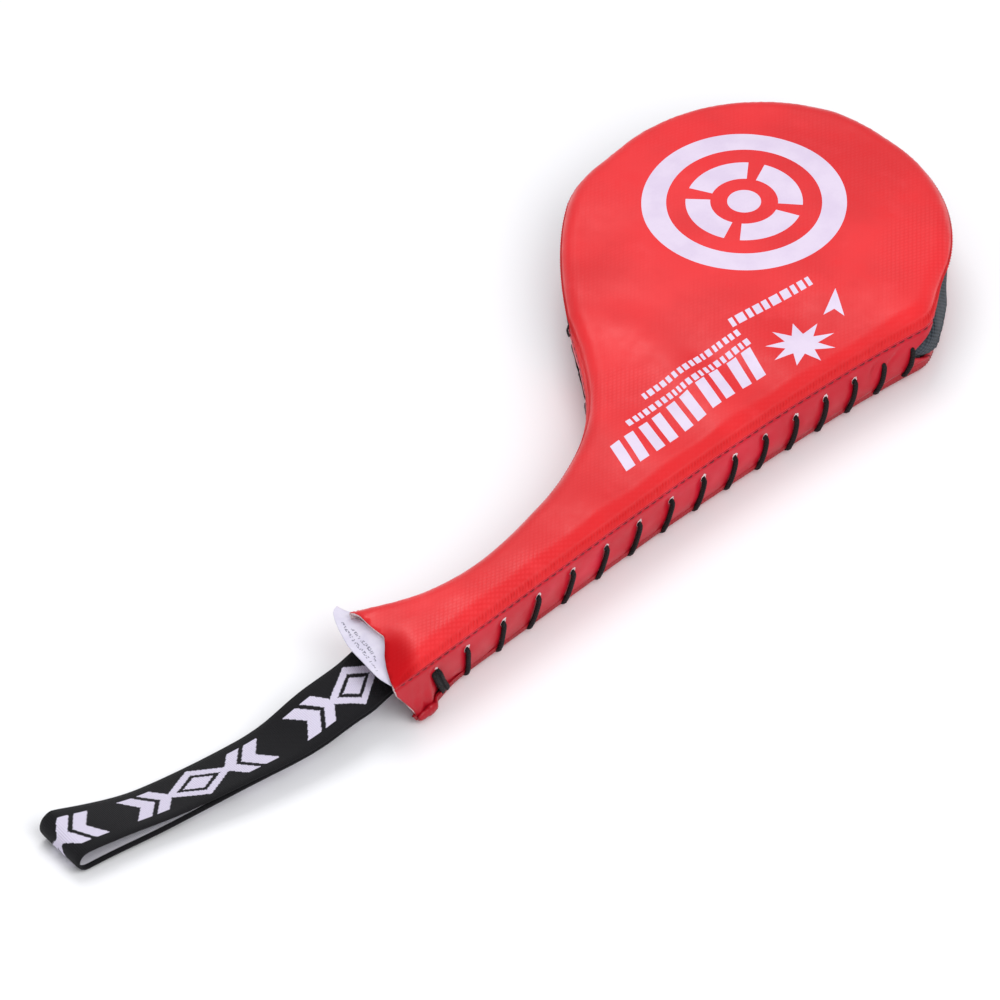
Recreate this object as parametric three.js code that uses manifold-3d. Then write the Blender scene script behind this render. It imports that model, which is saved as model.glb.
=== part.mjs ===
// Kick paddle: a padded martial-arts target with a round head, a curved grip and a wrist loop.
// Millimetres, +Z up. The paddle lies on its back face at z = 0, its striking face is up, and
// the head points along +Y. The origin is on the back face, near the middle of the head.
import * as THREE from 'three';
import { mergeVertices } from 'three/addons/utils/BufferGeometryUtils.js';
import Module from 'manifold-3d';

const wasm = await Module();
wasm.setup();

// ---- Driving dimensions ----

// Plan outline at the front seam, from the right corner of the handle's mouth, up the right
// side, round the head and down the left side to the mouth's left corner.
const HEAD_CENTRE = [-2.5, 6];
const HEAD_RADIUS = 74.5;
const HEAD_ARC_START = THREE.MathUtils.degToRad(18);
const HEAD_ARC_END = THREE.MathUtils.degToRad(187);
const RIGHT_SIDE = [[15.7, -281.6], [35, -183], [51.5, -73], [77.3, -2]];
const RIGHT_CORNER = [[77.3, -2], [80.4, 6.5], [72.7, 15.7], [68.4, 29]];
const LEFT_SHOULDER = [[-76.4, -3.1], [-73.8, -24.4], [-55, -54], [-33, -78]];
const LEFT_NECK = [[-33, -78], [-11, -102], [8.8, -132], [8.8, -168]];
const LEFT_GRIP = [[8.8, -168], [8.8, -197], [9.6, -229], [-19.5, -257.5]];
const OUTLINE_STEPS = 72;
const END_OVERRUN = 15;

// Heights.
const TOTAL_THICKNESS = 32;
const SEAM_HEIGHT = 25;
const SHOULDER_RADIUS = TOTAL_THICKNESS - SEAM_HEIGHT;
const BACK_RADIUS = 5;
const LIP_HEIGHT = 5;
const TIP_LIP_HEIGHT = 8;
const SKIN = 1.2;
const GAP = 0.3;
const SIDE_BULGE = 1.2;

// Core board and foam.
const BOARD_BOTTOM = 14;
const BOARD_TOP = 17;
const BOARD_INSET = 4.9;
const PAD_INSET = 4.6;
const PAD_SLACK = 0.4;
const PAD_CHAMFER = 2;
const PAD_SPLIT_Y = -118;
const CORE_END_SETBACK = 24;
const BATTEN = { width: 10, height: 5, from: [13, -236], to: [29, -135] };

// Side lacing.
const LACE_RADIUS = 1.1;
const LACE_SIDES = 8;
const LACE_HOLE_HEIGHT = 17;
const LACE_HOLE_RADIUS = 1.7;
const LIP_HOLE_HEIGHT = 2.7;
const LIP_HOLE_RADIUS = 1.75;
const LACE_LEAN = 3;
const LACE_CHANNEL = -3.1;
// One stitch, from inside its gusset hole, down the outside and in through its lip hole. Each
// point is a share of the lean, a distance out of the seam line and a height.
const STITCH_ROUTE = [
  [0, -3.1, 15.3], [0, -1.3, 17.1], [0, 1.9, 17.2], [0.1, 2.65, 15.2], [0.4, 2.75, 11.2],
  [0.75, 2.3, 7.2], [0.95, 1.6, 4.5], [1, -0.3, 2.6], [1, -3.4, 3.3],
];
const RIGHT_LACE = { first: 19.7, spacing: 20.7, change: -0.464, count: 16 };
const LEFT_LACE = { first: 22, spacing: 19.5, change: -0.3, count: 11 };

// Gusset ends, as distances along the outline from its start on the right.
const RIGHT_GUSSET_END = 296;
const LEFT_GUSSET_LENGTH = 207;
const LIP_RAMP = 8;

// Handle mouth, wrist strap and care label. Distances out of the mouth are from the mouth line.
const MOUTH_SETBACK = 6;
const STRAP_AXIS_OUT = 5;
const STRAP_AXIS_HEIGHT = 13;
const STRAP_KNUCKLE = 1.7;
const STRAP_WIDTH = 25;
const STRAP_PLY = 1.4;
const STRAP_REST_HEIGHT = 0.3;
const STRAP_LOOP_HEIGHT = 7.6;
const STRAP_LANDING = 0.7;
const STRAP_SQUARE_BY = 0.22;
const STRAP_OPEN_FROM = 0.16;
const STRAP_FOLD_ANGLES = [30, 60, 80];
const STRAP_CENTRE = [[-2.9, -275.8], [-6, -320], [-37, -360], [-54.2, -406]];
const STRAP_STEPS = 22;
const ANCHOR_TAIL = [[-11, -12], [-9, -20], [7, -20], [7, -17], [10, -14], [13, -6]];
const LABEL_AXIS_OUT = 2.3;
const LABEL_AXIS_HEIGHT = 24;
const LABEL_THICKNESS = 0.5;
// The label's outline: distances along the mouth line and out of the label's axis.
const LABEL_PLAN = [[-20, 0.4], [-30.5, 0.9], [-25, 3.4], [-14, 5.4], [0, 5.8], [11, 4], [19, 0.4]];

// ---- Materials ----

const material = (color, roughness, metalness = 0) =>
  new THREE.MeshStandardMaterial({ color, roughness, metalness });
const faceLeather = material(0xf3464b, 0.42);
const backLeather = material(0xd02a3c, 0.45);
const sideLeather = material(0xc82337, 0.45);
const tipFabric = material(0x3a3e44, 0.85);
const whiteBoard = material(0xd8d8d2, 0.5);
const headFoam = material(0x8d8f92, 0.9);
const gripFoam = material(0x5c5f63, 0.9);
const battenWood = material(0xc49a63, 0.6);
const laceCord = material(0x17171a, 0.7);
const strapWebbing = material(0x1b1b20, 0.8);
const labelSatin = material(0xe6e4f0, 0.5);

// ---- Plan outline ----

const vec2 = ([x, y]) => new THREE.Vector2(x, y);
const bezier = (points) => new THREE.CubicBezierCurve(...points.map(vec2));

const outline = new THREE.CurvePath();
outline.add(bezier(RIGHT_SIDE));
outline.add(bezier(RIGHT_CORNER));
outline.add(new THREE.EllipseCurve(
  ...HEAD_CENTRE, HEAD_RADIUS, HEAD_RADIUS, HEAD_ARC_START, HEAD_ARC_END, false));
outline.add(bezier(LEFT_SHOULDER));
outline.add(bezier(LEFT_NECK));
outline.add(bezier(LEFT_GRIP));
const OUTLINE_LENGTH = outline.getLength();
const LEFT_GUSSET_START = OUTLINE_LENGTH - LEFT_GUSSET_LENGTH;

// A place on the outline: its point and its outward normal. It runs on straight past both ends.
function place(distance) {
  const inside = THREE.MathUtils.clamp(distance, 0, OUTLINE_LENGTH);
  const along = outline.getTangentAt(inside / OUTLINE_LENGTH);
  const point = outline.getPointAt(inside / OUTLINE_LENGTH);
  point.addScaledVector(along, distance - inside);
  return { point, normal: new THREE.Vector2(along.y, -along.x) };
}

// The distances at which every cover, wall and pad has its corners.
const STATIONS = Array.from({ length: OUTLINE_STEPS + 1 }, (_, i) => i * OUTLINE_LENGTH / OUTLINE_STEPS);
STATIONS.push(-END_OVERRUN, OUTLINE_LENGTH + END_OVERRUN);
STATIONS.push(RIGHT_GUSSET_END, RIGHT_GUSSET_END + LIP_RAMP);
STATIONS.push(LEFT_GUSSET_START - LIP_RAMP, LEFT_GUSSET_START);
STATIONS.sort((a, b) => a - b);

// The back cover's turned-up lip is higher round the head's tip, between the two gussets.
function lipHeight(distance) {
  const rise = THREE.MathUtils.smoothstep(distance, RIGHT_GUSSET_END, RIGHT_GUSSET_END + LIP_RAMP);
  const fall = THREE.MathUtils.smoothstep(distance, LEFT_GUSSET_START - LIP_RAMP, LEFT_GUSSET_START);
  return LIP_HEIGHT + (TIP_LIP_HEIGHT - LIP_HEIGHT) * (rise - fall);
}

// How far the side wall stands proud of the seam line at a height.
function bulge(height) {
  const share = (height - LIP_HEIGHT) / (SEAM_HEIGHT - LIP_HEIGHT);
  return SIDE_BULGE * Math.sin(Math.PI * THREE.MathUtils.clamp(share, 0, 1));
}

// ---- Mesh helpers ----

function meshGeometry(positions, indices) {
  const geometry = new THREE.BufferGeometry();
  geometry.setAttribute('position', new THREE.Float32BufferAttribute(positions, 3));
  geometry.setIndex(indices);
  return geometry;
}

// Joins rings of equal point counts with quads, each ring closed on itself.
function joinRings(indices, ringCount, size) {
  for (let ring = 0; ring < ringCount - 1; ring += 1) {
    for (let i = 0; i < size; i += 1) {
      const next = (i + 1) % size;
      const a = ring * size + i;
      const b = ring * size + next;
      indices.push(a, b, b + size, a, b + size, a + size);
    }
  }
}

// A closed solid through plan rings, lowest first. Each ring gives an inset and a height,
// and either may be a function of the distance along the outline.
function outlineSolid(rings) {
  const value = (v, s) => (typeof v === 'function' ? v(s) : v);
  const positions = [];
  for (const ring of rings) {
    for (const s of STATIONS) {
      const { point, normal } = place(s);
      const inset = value(ring.inset, s);
      positions.push(point.x - normal.x * inset, point.y - normal.y * inset, value(ring.height, s));
    }
  }
  const size = STATIONS.length;
  const indices = [];
  joinRings(indices, rings.length, size);
  const capAt = (ring) => {
    const flat = STATIONS.map((_, i) => {
      const at = 3 * (ring * size + i);
      return new THREE.Vector2(positions[at], positions[at + 1]);
    });
    return THREE.ShapeUtils.triangulateShape(flat, []);
  };
  const top = (rings.length - 1) * size;
  for (const [a, b, c] of capAt(0)) indices.push(c, b, a);
  for (const [a, b, c] of capAt(rings.length - 1)) indices.push(top + a, top + b, top + c);
  return meshGeometry(positions, indices);
}

// A closed wall along the outline: section(distance) gives [outward, height] corners.
function wallSolid(from, to, section) {
  const positions = [];
  const stops = [from, ...STATIONS.filter((s) => s > from + 0.01 && s < to - 0.01), to];
  const steps = stops.length - 1;
  let size = 0;
  for (const s of stops) {
    const { point, normal } = place(s);
    const corners = section(s);
    size = corners.length;
    for (const [out, height] of corners) {
      positions.push(point.x + normal.x * out, point.y + normal.y * out, height);
    }
  }
  const indices = [];
  joinRings(indices, steps + 1, size);
  const capAt = (s) => THREE.ShapeUtils.triangulateShape(section(s).map(vec2), []);
  const last = steps * size;
  for (const [a, b, c] of capAt(from)) indices.push(a, b, c);
  for (const [a, b, c] of capAt(to)) indices.push(last + c, last + b, last + a);
  return meshGeometry(positions, indices);
}

function toSolid(geometry) {
  const bare = geometry.clone();
  bare.deleteAttribute('normal');
  bare.deleteAttribute('uv');
  const merged = mergeVertices(bare, 1e-4);
  const solid = new wasm.Manifold(new wasm.Mesh({
    numProp: 3,
    vertProperties: merged.attributes.position.array,
    triVerts: Uint32Array.from(merged.index.array),
  }));
  if (solid.volume() > 0) return solid;
  throw new Error('a solid is inside out');
}

function fromSolid(solid) {
  const { vertProperties, triVerts } = solid.getMesh();
  return meshGeometry(vertProperties, Array.from(triVerts));
}

function cut(geometry, ...tools) {
  return fromSolid(tools.reduce((solid, tool) => solid.subtract(toSolid(tool)), toSolid(geometry)));
}

function addMesh(group, name, geometry, finish) {
  geometry.computeVertexNormals();
  const mesh = new THREE.Mesh(geometry, finish);
  mesh.name = name;
  group.add(mesh);
  return mesh;
}

// ---- Handle mouth ----

const mouthRight = vec2(RIGHT_SIDE[0]);
const mouthLeft = vec2(LEFT_GRIP[3]);
const mouthMiddle = mouthRight.clone().add(mouthLeft).multiplyScalar(0.5);
const mouthAlong = mouthRight.clone().sub(mouthLeft).normalize();
const mouthOut = new THREE.Vector2(mouthAlong.y, -mouthAlong.x);

// A point given by its distance along the mouth line, its distance out of it and its height.
function mouthPoint(along, out, height) {
  return new THREE.Vector3(
    mouthMiddle.x + mouthAlong.x * along + mouthOut.x * out,
    mouthMiddle.y + mouthAlong.y * along + mouthOut.y * out,
    height);
}

// Everything past the mouth, which slants back towards the paddle's underside.
function pastMouth(setback) {
  const reach = 120;
  const slant = Math.atan2(MOUTH_SETBACK, SEAM_HEIGHT);
  const box = new THREE.BoxGeometry(reach, reach, reach).translate(0, reach / 2, 0);
  box.rotateX(-slant);
  const along = new THREE.Vector3(-mouthAlong.x, -mouthAlong.y, 0);
  const out = new THREE.Vector3(mouthOut.x, mouthOut.y, 0);
  const up = new THREE.Vector3(0, 0, 1);
  const turn = new THREE.Matrix4().makeBasis(along, out, up);
  turn.setPosition(mouthPoint(0, -setback, SEAM_HEIGHT));
  return box.applyMatrix4(turn);
}

// ---- Covers ----

// A quarter-round of plan rings from upright to level, at a depth inside the outer skin.
function roundedRings(radius, depth, steps, levelHeight, up) {
  const inner = radius - depth;
  return Array.from({ length: steps + 1 }, (_, i) => {
    const angle = i / steps * Math.PI / 2;
    return {
      inset: radius - inner * Math.cos(angle),
      height: levelHeight + up * inner * Math.sin(angle),
    };
  });
}

// The striking face: a skin over the front foam, open below and at the mouth.
function frontCover() {
  const inside = roundedRings(SHOULDER_RADIUS, SKIN, 3, SEAM_HEIGHT, 1).reverse();
  const outside = roundedRings(SHOULDER_RADIUS, 0, 4, SEAM_HEIGHT, 1);
  return cut(outlineSolid([...inside, ...outside]), pastMouth(0));
}

// Cylinders that punch the lace's holes through a wall.
function laceHoleTools(stitches, height, radius, lean) {
  const length = 8;
  return stitches.map((s) => {
    const { point, normal } = place(s - lean);
    const tool = new THREE.CylinderGeometry(radius, radius, length, LACE_SIDES);
    tool.rotateZ(-Math.PI / 2).rotateZ(Math.atan2(normal.y, normal.x));
    return tool.translate(point.x, point.y, height);
  });
}

function stitchPlaces({ first, spacing, change, count }) {
  return Array.from({ length: count }, (_, k) => first + spacing * k + change * k * (k - 1) / 2);
}

const rightStitches = stitchPlaces(RIGHT_LACE);
const leftStitches = stitchPlaces(LEFT_LACE).map((s) => OUTLINE_LENGTH - s);

// The back: a shallow tray with a turned-up lip, open at the mouth and holed for the laces.
function backCover() {
  const outside = roundedRings(BACK_RADIUS, 0, 3, BACK_RADIUS, -1).reverse().slice(0, -1);
  const inside = roundedRings(BACK_RADIUS, SKIN, 3, BACK_RADIUS, -1).slice(1);
  const lip = [
    { inset: 0, height: LIP_HEIGHT - GAP },
    { inset: 0, height: lipHeight },
    { inset: SKIN, height: lipHeight },
    { inset: SKIN, height: LIP_HEIGHT - GAP },
  ];
  const holes = [
    ...laceHoleTools(rightStitches, LIP_HOLE_HEIGHT, LIP_HOLE_RADIUS, LACE_LEAN),
    ...laceHoleTools(leftStitches, LIP_HOLE_HEIGHT, LIP_HOLE_RADIUS, -LACE_LEAN),
  ];
  return cut(outlineSolid([...outside, ...lip, ...inside]), pastMouth(0), ...holes);
}

// ---- Side walls ----

function gussetSection(s) {
  const low = lipHeight(s) + GAP;
  const high = SEAM_HEIGHT - GAP;
  const levels = [0, 0.25, 0.5, 0.75, 1].map((share) => low + (high - low) * share);
  const outer = levels.map((z) => [bulge(z), z]).reverse();
  const inner = levels.map((z) => [bulge(z) - SKIN, z]);
  return [...outer, ...inner];
}

function gusset(from, to, stitches) {
  const wall = wallSolid(from, to, gussetSection);
  const holes = laceHoleTools(stitches, LACE_HOLE_HEIGHT, LACE_HOLE_RADIUS, 0);
  return cut(wall, pastMouth(0), ...holes);
}

// ---- Core ----

// A foam pad: the head's pad keeps what lies above the split line, and the grip's what lies below.
const HEAD = -1;
const GRIP = 1;
function padSolid(rings, part) {
  const reach = 400;
  const box = new THREE.BoxGeometry(reach, reach, reach);
  box.translate(0, PAD_SPLIT_Y + part * (reach / 2 - GAP / 2), 0);
  return cut(outlineSolid(rings), pastMouth(CORE_END_SETBACK), box);
}

const PAD_TOP = TOTAL_THICKNESS - SKIN - PAD_SLACK;
const PAD_BOTTOM = SKIN + PAD_SLACK;
const FRONT_PAD_RINGS = [
  { inset: PAD_INSET, height: BOARD_TOP + GAP },
  { inset: PAD_INSET, height: PAD_TOP - PAD_CHAMFER },
  { inset: PAD_INSET + PAD_CHAMFER, height: PAD_TOP },
];
const BACK_PAD_RINGS = [
  { inset: PAD_INSET + PAD_CHAMFER, height: PAD_BOTTOM },
  { inset: PAD_INSET, height: PAD_BOTTOM + PAD_CHAMFER },
  { inset: PAD_INSET, height: BOARD_BOTTOM - GAP },
];

function coreBoard() {
  const rings = [
    { inset: BOARD_INSET, height: BOARD_BOTTOM },
    { inset: BOARD_INSET, height: BOARD_TOP },
  ];
  return cut(outlineSolid(rings), pastMouth(CORE_END_SETBACK));
}

// The batten under the board, or with a clearance the pocket that holds it in the foam.
function battenBox(clearance) {
  const from = vec2(BATTEN.from);
  const to = vec2(BATTEN.to);
  const grown = 2 * clearance;
  const length = from.distanceTo(to) + grown;
  const box = new THREE.BoxGeometry(length, BATTEN.width + grown, BATTEN.height + grown);
  box.rotateZ(Math.atan2(to.y - from.y, to.x - from.x));
  const middle = BOARD_BOTTOM - GAP - BATTEN.height / 2;
  return box.translate((from.x + to.x) / 2, (from.y + to.y) / 2, middle);
}

// ---- Laces ----

// A curve that passes straight from point to point, with one extrusion step to each.
class RouteCurve extends THREE.Curve {
  constructor(points) {
    super();
    this.points = points;
  }

  getPoint(t, target = new THREE.Vector3()) {
    const last = this.points.length - 1;
    const at = THREE.MathUtils.clamp(t * last, 0, last);
    const i = Math.min(Math.floor(at + 1e-9), last - 1);
    return target.copy(this.points[i]).lerp(this.points[i + 1], at - i);
  }

  getPointAt(u, target) {
    return this.getPoint(u, target);
  }

  getTangentAt(u, target = new THREE.Vector3()) {
    const last = this.points.length - 1;
    const i = Math.round(u * last);
    const before = this.points[Math.max(i - 1, 0)];
    const here = this.points[i];
    const after = this.points[Math.min(i + 1, last)];
    const arriving = here.clone().sub(before).normalize();
    const leaving = after.clone().sub(here).normalize();
    return target.copy(arriving).add(leaving).normalize();
  }
}

// One lace: out of each gusset hole, down the outside leaning towards the handle, in through
// the lip hole, and up the inside to the next gusset hole.
function laceGeometry(stitches, lean) {
  const at = (s, out, height) => {
    const { point, normal } = place(s);
    return new THREE.Vector3(point.x + normal.x * out, point.y + normal.y * out, height);
  };
  const route = [];
  stitches.forEach((s, k) => {
    for (const [share, out, height] of STITCH_ROUTE) route.push(at(s - share * lean, out, height));
    if (k === stitches.length - 1) return;
    const middle = (s - lean + stitches[k + 1]) / 2;
    route.push(at(middle, LACE_CHANNEL, (LACE_HOLE_HEIGHT + LIP_HOLE_HEIGHT) / 2));
  });
  const section = new THREE.Shape(Array.from({ length: LACE_SIDES }, (_, i) => {
    const angle = 2 * Math.PI * i / LACE_SIDES;
    return new THREE.Vector2(LACE_RADIUS * Math.cos(angle), LACE_RADIUS * Math.sin(angle));
  }));
  return new THREE.ExtrudeGeometry(section, { steps: route.length - 1, extrudePath: new RouteCurve(route) });
}

// ---- Wrist strap ----

const strapCentre = bezier(STRAP_CENTRE);

function strapHalfHeight(share) {
  const grown = THREE.MathUtils.smoothstep(share, 0, STRAP_LANDING);
  return STRAP_KNUCKLE + (STRAP_LOOP_HEIGHT / 2 - STRAP_KNUCKLE) * grown;
}

function strapMiddle(share) {
  const landed = THREE.MathUtils.smoothstep(share, 0, STRAP_LANDING);
  const resting = STRAP_REST_HEIGHT + STRAP_LOOP_HEIGHT / 2;
  return STRAP_AXIS_HEIGHT + (resting - STRAP_AXIS_HEIGHT) * landed;
}

// The strap's side-to-side direction and half width: along the mouth at its root, square on later.
function strapSpan(share) {
  const tangent = strapCentre.getTangentAt(share);
  const across = new THREE.Vector2(-tangent.y, tangent.x);
  if (across.dot(mouthAlong) < 0) across.negate();
  const rootHalf = STRAP_WIDTH / 2 / Math.abs(across.dot(mouthAlong));
  const square = THREE.MathUtils.smoothstep(share, 0, STRAP_SQUARE_BY);
  return mouthAlong.clone().multiplyScalar(rootHalf * (1 - square))
    .addScaledVector(across, STRAP_WIDTH / 2 * square);
}

// A slab along the strap's centre line. Stations are [share, half height].
function strapSlab(stations, widen) {
  const positions = [];
  for (const [share, half] of stations) {
    const centre = strapCentre.getPointAt(share);
    const span = strapSpan(share).multiplyScalar(widen);
    const middle = strapMiddle(share);
    for (const [side, level] of [[-1, -1], [1, -1], [1, 1], [-1, 1]]) {
      positions.push(centre.x + side * span.x, centre.y + side * span.y, middle + level * half);
    }
  }
  const indices = [];
  joinRings(indices, stations.length, 4);
  const last = (stations.length - 1) * 4;
  indices.push(0, 2, 1, 0, 3, 2);
  indices.push(last, last + 1, last + 2, last, last + 2, last + 3);
  return meshGeometry(positions, indices);
}

function strapStations(from, to, trim, length) {
  const stations = [];
  for (let i = 0; i <= STRAP_STEPS; i += 1) {
    const share = from + (to - from) * i / STRAP_STEPS;
    stations.push([share, strapHalfHeight(share) - trim]);
  }
  // The fold is a half round at the far end.
  const radius = STRAP_LOOP_HEIGHT / 2 - trim;
  for (const degrees of STRAP_FOLD_ANGLES) {
    const angle = THREE.MathUtils.degToRad(degrees);
    stations.push([to + radius * Math.sin(angle) / length, radius * Math.cos(angle)]);
  }
  return stations;
}

// The flattened loop: a slab with its hollow cut right across, which leaves two plies.
function wristStrap() {
  const length = strapCentre.getLength();
  const fold = 1 - STRAP_LOOP_HEIGHT / 2 / length;
  const acrossBoth = 1.4;
  const outside = strapSlab(strapStations(0, fold, 0, length), 1);
  const inside = strapSlab(strapStations(STRAP_OPEN_FROM, fold, STRAP_PLY, length), acrossBoth);
  return cut(outside, inside);
}

// The strap's two tails, stacked and sewn, from inside the handle to just outside the mouth.
function strapAnchor() {
  const front = STRAP_AXIS_OUT - STRAP_KNUCKLE - GAP;
  return mouthPlate([...ANCHOR_TAIL, [17, front], [-12, front]], STRAP_AXIS_HEIGHT - STRAP_KNUCKLE,
    2 * STRAP_KNUCKLE);
}

// A flat plate given by its plan in mouth coordinates.
function mouthPlate(plan, low, thickness) {
  const shape = new THREE.Shape(plan.map(([along, out]) => {
    const point = mouthPoint(along, out, 0);
    return new THREE.Vector2(point.x, point.y);
  }));
  const plate = new THREE.ExtrudeGeometry(shape, { depth: thickness, bevelEnabled: false });
  return plate.translate(0, 0, low);
}

function careLabel() {
  const plan = LABEL_PLAN.map(([along, out]) => [along, LABEL_AXIS_OUT + out]);
  return mouthPlate(plan, LABEL_AXIS_HEIGHT - LABEL_THICKNESS / 2, LABEL_THICKNESS);
}

// ---- Assembly ----

const paddle = new THREE.Group();
const rightGusset = gusset(-END_OVERRUN, RIGHT_GUSSET_END, rightStitches);
const leftGusset = gusset(LEFT_GUSSET_START, OUTLINE_LENGTH + END_OVERRUN, leftStitches);
const tipGusset = gusset(RIGHT_GUSSET_END + GAP, LEFT_GUSSET_START - GAP, []);
const backGripPad = cut(padSolid(BACK_PAD_RINGS, GRIP), battenBox(GAP));

addMesh(paddle, 'front_cover', frontCover(), faceLeather);
addMesh(paddle, 'back_cover', backCover(), backLeather);
addMesh(paddle, 'right_gusset', rightGusset, sideLeather);
addMesh(paddle, 'left_gusset', leftGusset, sideLeather);
addMesh(paddle, 'tip_gusset', tipGusset, tipFabric);

addMesh(paddle, 'core_board', coreBoard(), whiteBoard);
addMesh(paddle, 'front_head_foam', padSolid(FRONT_PAD_RINGS, HEAD), headFoam);
addMesh(paddle, 'front_grip_foam', padSolid(FRONT_PAD_RINGS, GRIP), gripFoam);
addMesh(paddle, 'back_head_foam', padSolid(BACK_PAD_RINGS, HEAD), headFoam);
addMesh(paddle, 'back_grip_foam', backGripPad, gripFoam);
addMesh(paddle, 'grip_batten', battenBox(0), battenWood);

addMesh(paddle, 'right_lace', laceGeometry(rightStitches, LACE_LEAN), laceCord);
addMesh(paddle, 'left_lace', laceGeometry(leftStitches, -LACE_LEAN), laceCord);

addMesh(paddle, 'strap_anchor', strapAnchor(), strapWebbing);
addMesh(paddle, 'wrist_strap', wristStrap(), strapWebbing);
addMesh(paddle, 'care_label', careLabel(), labelSatin);

export default paddle;
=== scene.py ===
# The kick paddle's looks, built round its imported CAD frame. Sizes here are in millimetres, in the
# frame's own axes, and mesh_object() turns them into metres.
import math

import bpy
import numpy as np
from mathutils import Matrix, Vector
from mathutils.geometry import delaunay_2d_cdt


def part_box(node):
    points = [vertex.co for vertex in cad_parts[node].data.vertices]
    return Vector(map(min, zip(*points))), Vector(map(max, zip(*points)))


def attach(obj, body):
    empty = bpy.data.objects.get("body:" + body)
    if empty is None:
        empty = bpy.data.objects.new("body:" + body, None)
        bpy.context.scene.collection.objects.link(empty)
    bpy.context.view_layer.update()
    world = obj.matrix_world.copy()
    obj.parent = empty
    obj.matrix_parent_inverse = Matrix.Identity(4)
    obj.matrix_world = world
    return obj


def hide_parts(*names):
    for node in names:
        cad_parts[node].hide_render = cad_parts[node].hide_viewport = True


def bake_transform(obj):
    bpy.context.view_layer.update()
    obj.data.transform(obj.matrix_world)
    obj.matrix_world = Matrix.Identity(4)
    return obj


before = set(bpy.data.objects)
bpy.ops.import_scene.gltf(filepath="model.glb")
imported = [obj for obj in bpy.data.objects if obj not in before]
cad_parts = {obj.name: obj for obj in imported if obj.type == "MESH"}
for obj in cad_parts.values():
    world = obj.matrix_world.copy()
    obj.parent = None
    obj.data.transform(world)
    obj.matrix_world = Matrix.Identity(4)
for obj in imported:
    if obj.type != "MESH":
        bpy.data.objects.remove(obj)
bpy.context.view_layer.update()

MM = 0.001
scene = bpy.context.scene

# ---- Driving dimensions, as in the frame ----

HEAD_CENTRE = (-2.5, 6)
HEAD_RADIUS = 74.5
HEAD_ARC = (math.radians(18), math.radians(187))
RIGHT_SIDE = [(15.7, -281.6), (35, -183), (51.5, -73), (77.3, -2)]
RIGHT_CORNER = [(77.3, -2), (80.4, 6.5), (72.7, 15.7), (68.4, 29)]
LEFT_SHOULDER = [(-76.4, -3.1), (-73.8, -24.4), (-55, -54), (-33, -78)]
LEFT_NECK = [(-33, -78), (-11, -102), (8.8, -132), (8.8, -168)]
LEFT_GRIP = [(8.8, -168), (8.8, -197), (9.6, -229), (-19.5, -257.5)]

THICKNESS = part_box("front_cover")[1].z / MM
SEAM = 25.0
SHOULDER = THICKNESS - SEAM
BACK_RADIUS = 5.0
LIP = 5.0
TIP_LIP = 8.0
BULGE = 1.2
MOUTH_SETBACK = 6.0

RIGHT_LACE = {"first": 19.7, "spacing": 20.7, "change": -0.464, "count": 16}
LEFT_LACE = {"first": 22, "spacing": 19.5, "change": -0.3, "count": 11}
LACE_HOLE = 17.0
LACE_LEAN = 3.0
RIGHT_END = 296.0
LEFT_GUSSET = 207.0
LIP_RAMP = 8.0

STRAP_CENTRE = [(-2.9, -275.8), (-6, -320), (-37, -360), (-54.2, -406)]
STRAP_WIDTH = 25.0
STRAP_PLY = 1.4
# A bend for the strap and the label, outwards from the mouth: from, to and height. The label unpacks it, but
# neither piece is bent by it.
LABEL_BEND = (0.0, 4.5, 24.0)

# ---- Camera ----

CAMERA_TARGET = Vector((-6.7, -171, 25)) * MM
CAMERA_BACK = Vector((0.3949, -0.6198, 0.6782))
FRAME_WIDTH = 382.5 * MM


def make_camera():
    data = bpy.data.cameras.new("camera")
    data.lens = 1500
    data.sensor_width = 36
    distance = FRAME_WIDTH * data.lens / data.sensor_width
    data.clip_end = 4 * distance
    camera = bpy.data.objects.new("camera", data)
    camera.location = CAMERA_TARGET + CAMERA_BACK.normalized() * distance
    camera.rotation_mode = "QUATERNION"
    camera.rotation_quaternion = (-CAMERA_BACK).to_track_quat("-Z", "Y")
    scene.collection.objects.link(camera)
    scene.camera = camera


make_camera()

# ---- Plan outline ----


def bezier(points, steps=120):
    p = np.array(points, float)
    t = np.linspace(0, 1, steps, endpoint=False)[:, None]
    return (1 - t) ** 3 * p[0] + 3 * (1 - t) ** 2 * t * p[1] + 3 * (1 - t) * t**2 * p[2] + t**3 * p[3]


def head_arc(steps=200):
    angle = np.linspace(*HEAD_ARC, steps, endpoint=False)
    return np.stack([HEAD_CENTRE[0] + HEAD_RADIUS * np.cos(angle),
                     HEAD_CENTRE[1] + HEAD_RADIUS * np.sin(angle)], -1)


def bump(x, centre, width):
    return np.exp(-(((np.asarray(x, float) - centre) / width) ** 2))


def cumulative(points):
    return np.concatenate([[0], np.cumsum(np.linalg.norm(np.diff(points, axis=0), axis=1))])


# Where the leather is drawn in from the frame's outline: distance back from the outline's end,
# depth and half-width.
DRAWN_IN = [(153, 2.4, 28), (302, 1.8, 14)]


def drawn_in(outline):
    at = cumulative(outline)
    depth = sum(deep * bump(at - at[-1], -back, width) for back, deep, width in DRAWN_IN)
    along = np.gradient(outline, axis=0)
    along /= np.linalg.norm(along, axis=1)[:, None]
    return outline - np.stack([along[:, 1], -along[:, 0]], -1) * depth[:, None]


OUTLINE = drawn_in(np.vstack([
    bezier(RIGHT_SIDE), bezier(RIGHT_CORNER), head_arc(),
    bezier(LEFT_SHOULDER), bezier(LEFT_NECK), bezier(LEFT_GRIP), [LEFT_GRIP[3]],
]))
OUTLINE_AT = cumulative(OUTLINE)
LENGTH = OUTLINE_AT[-1]
LEFT_START = LENGTH - LEFT_GUSSET


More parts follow.
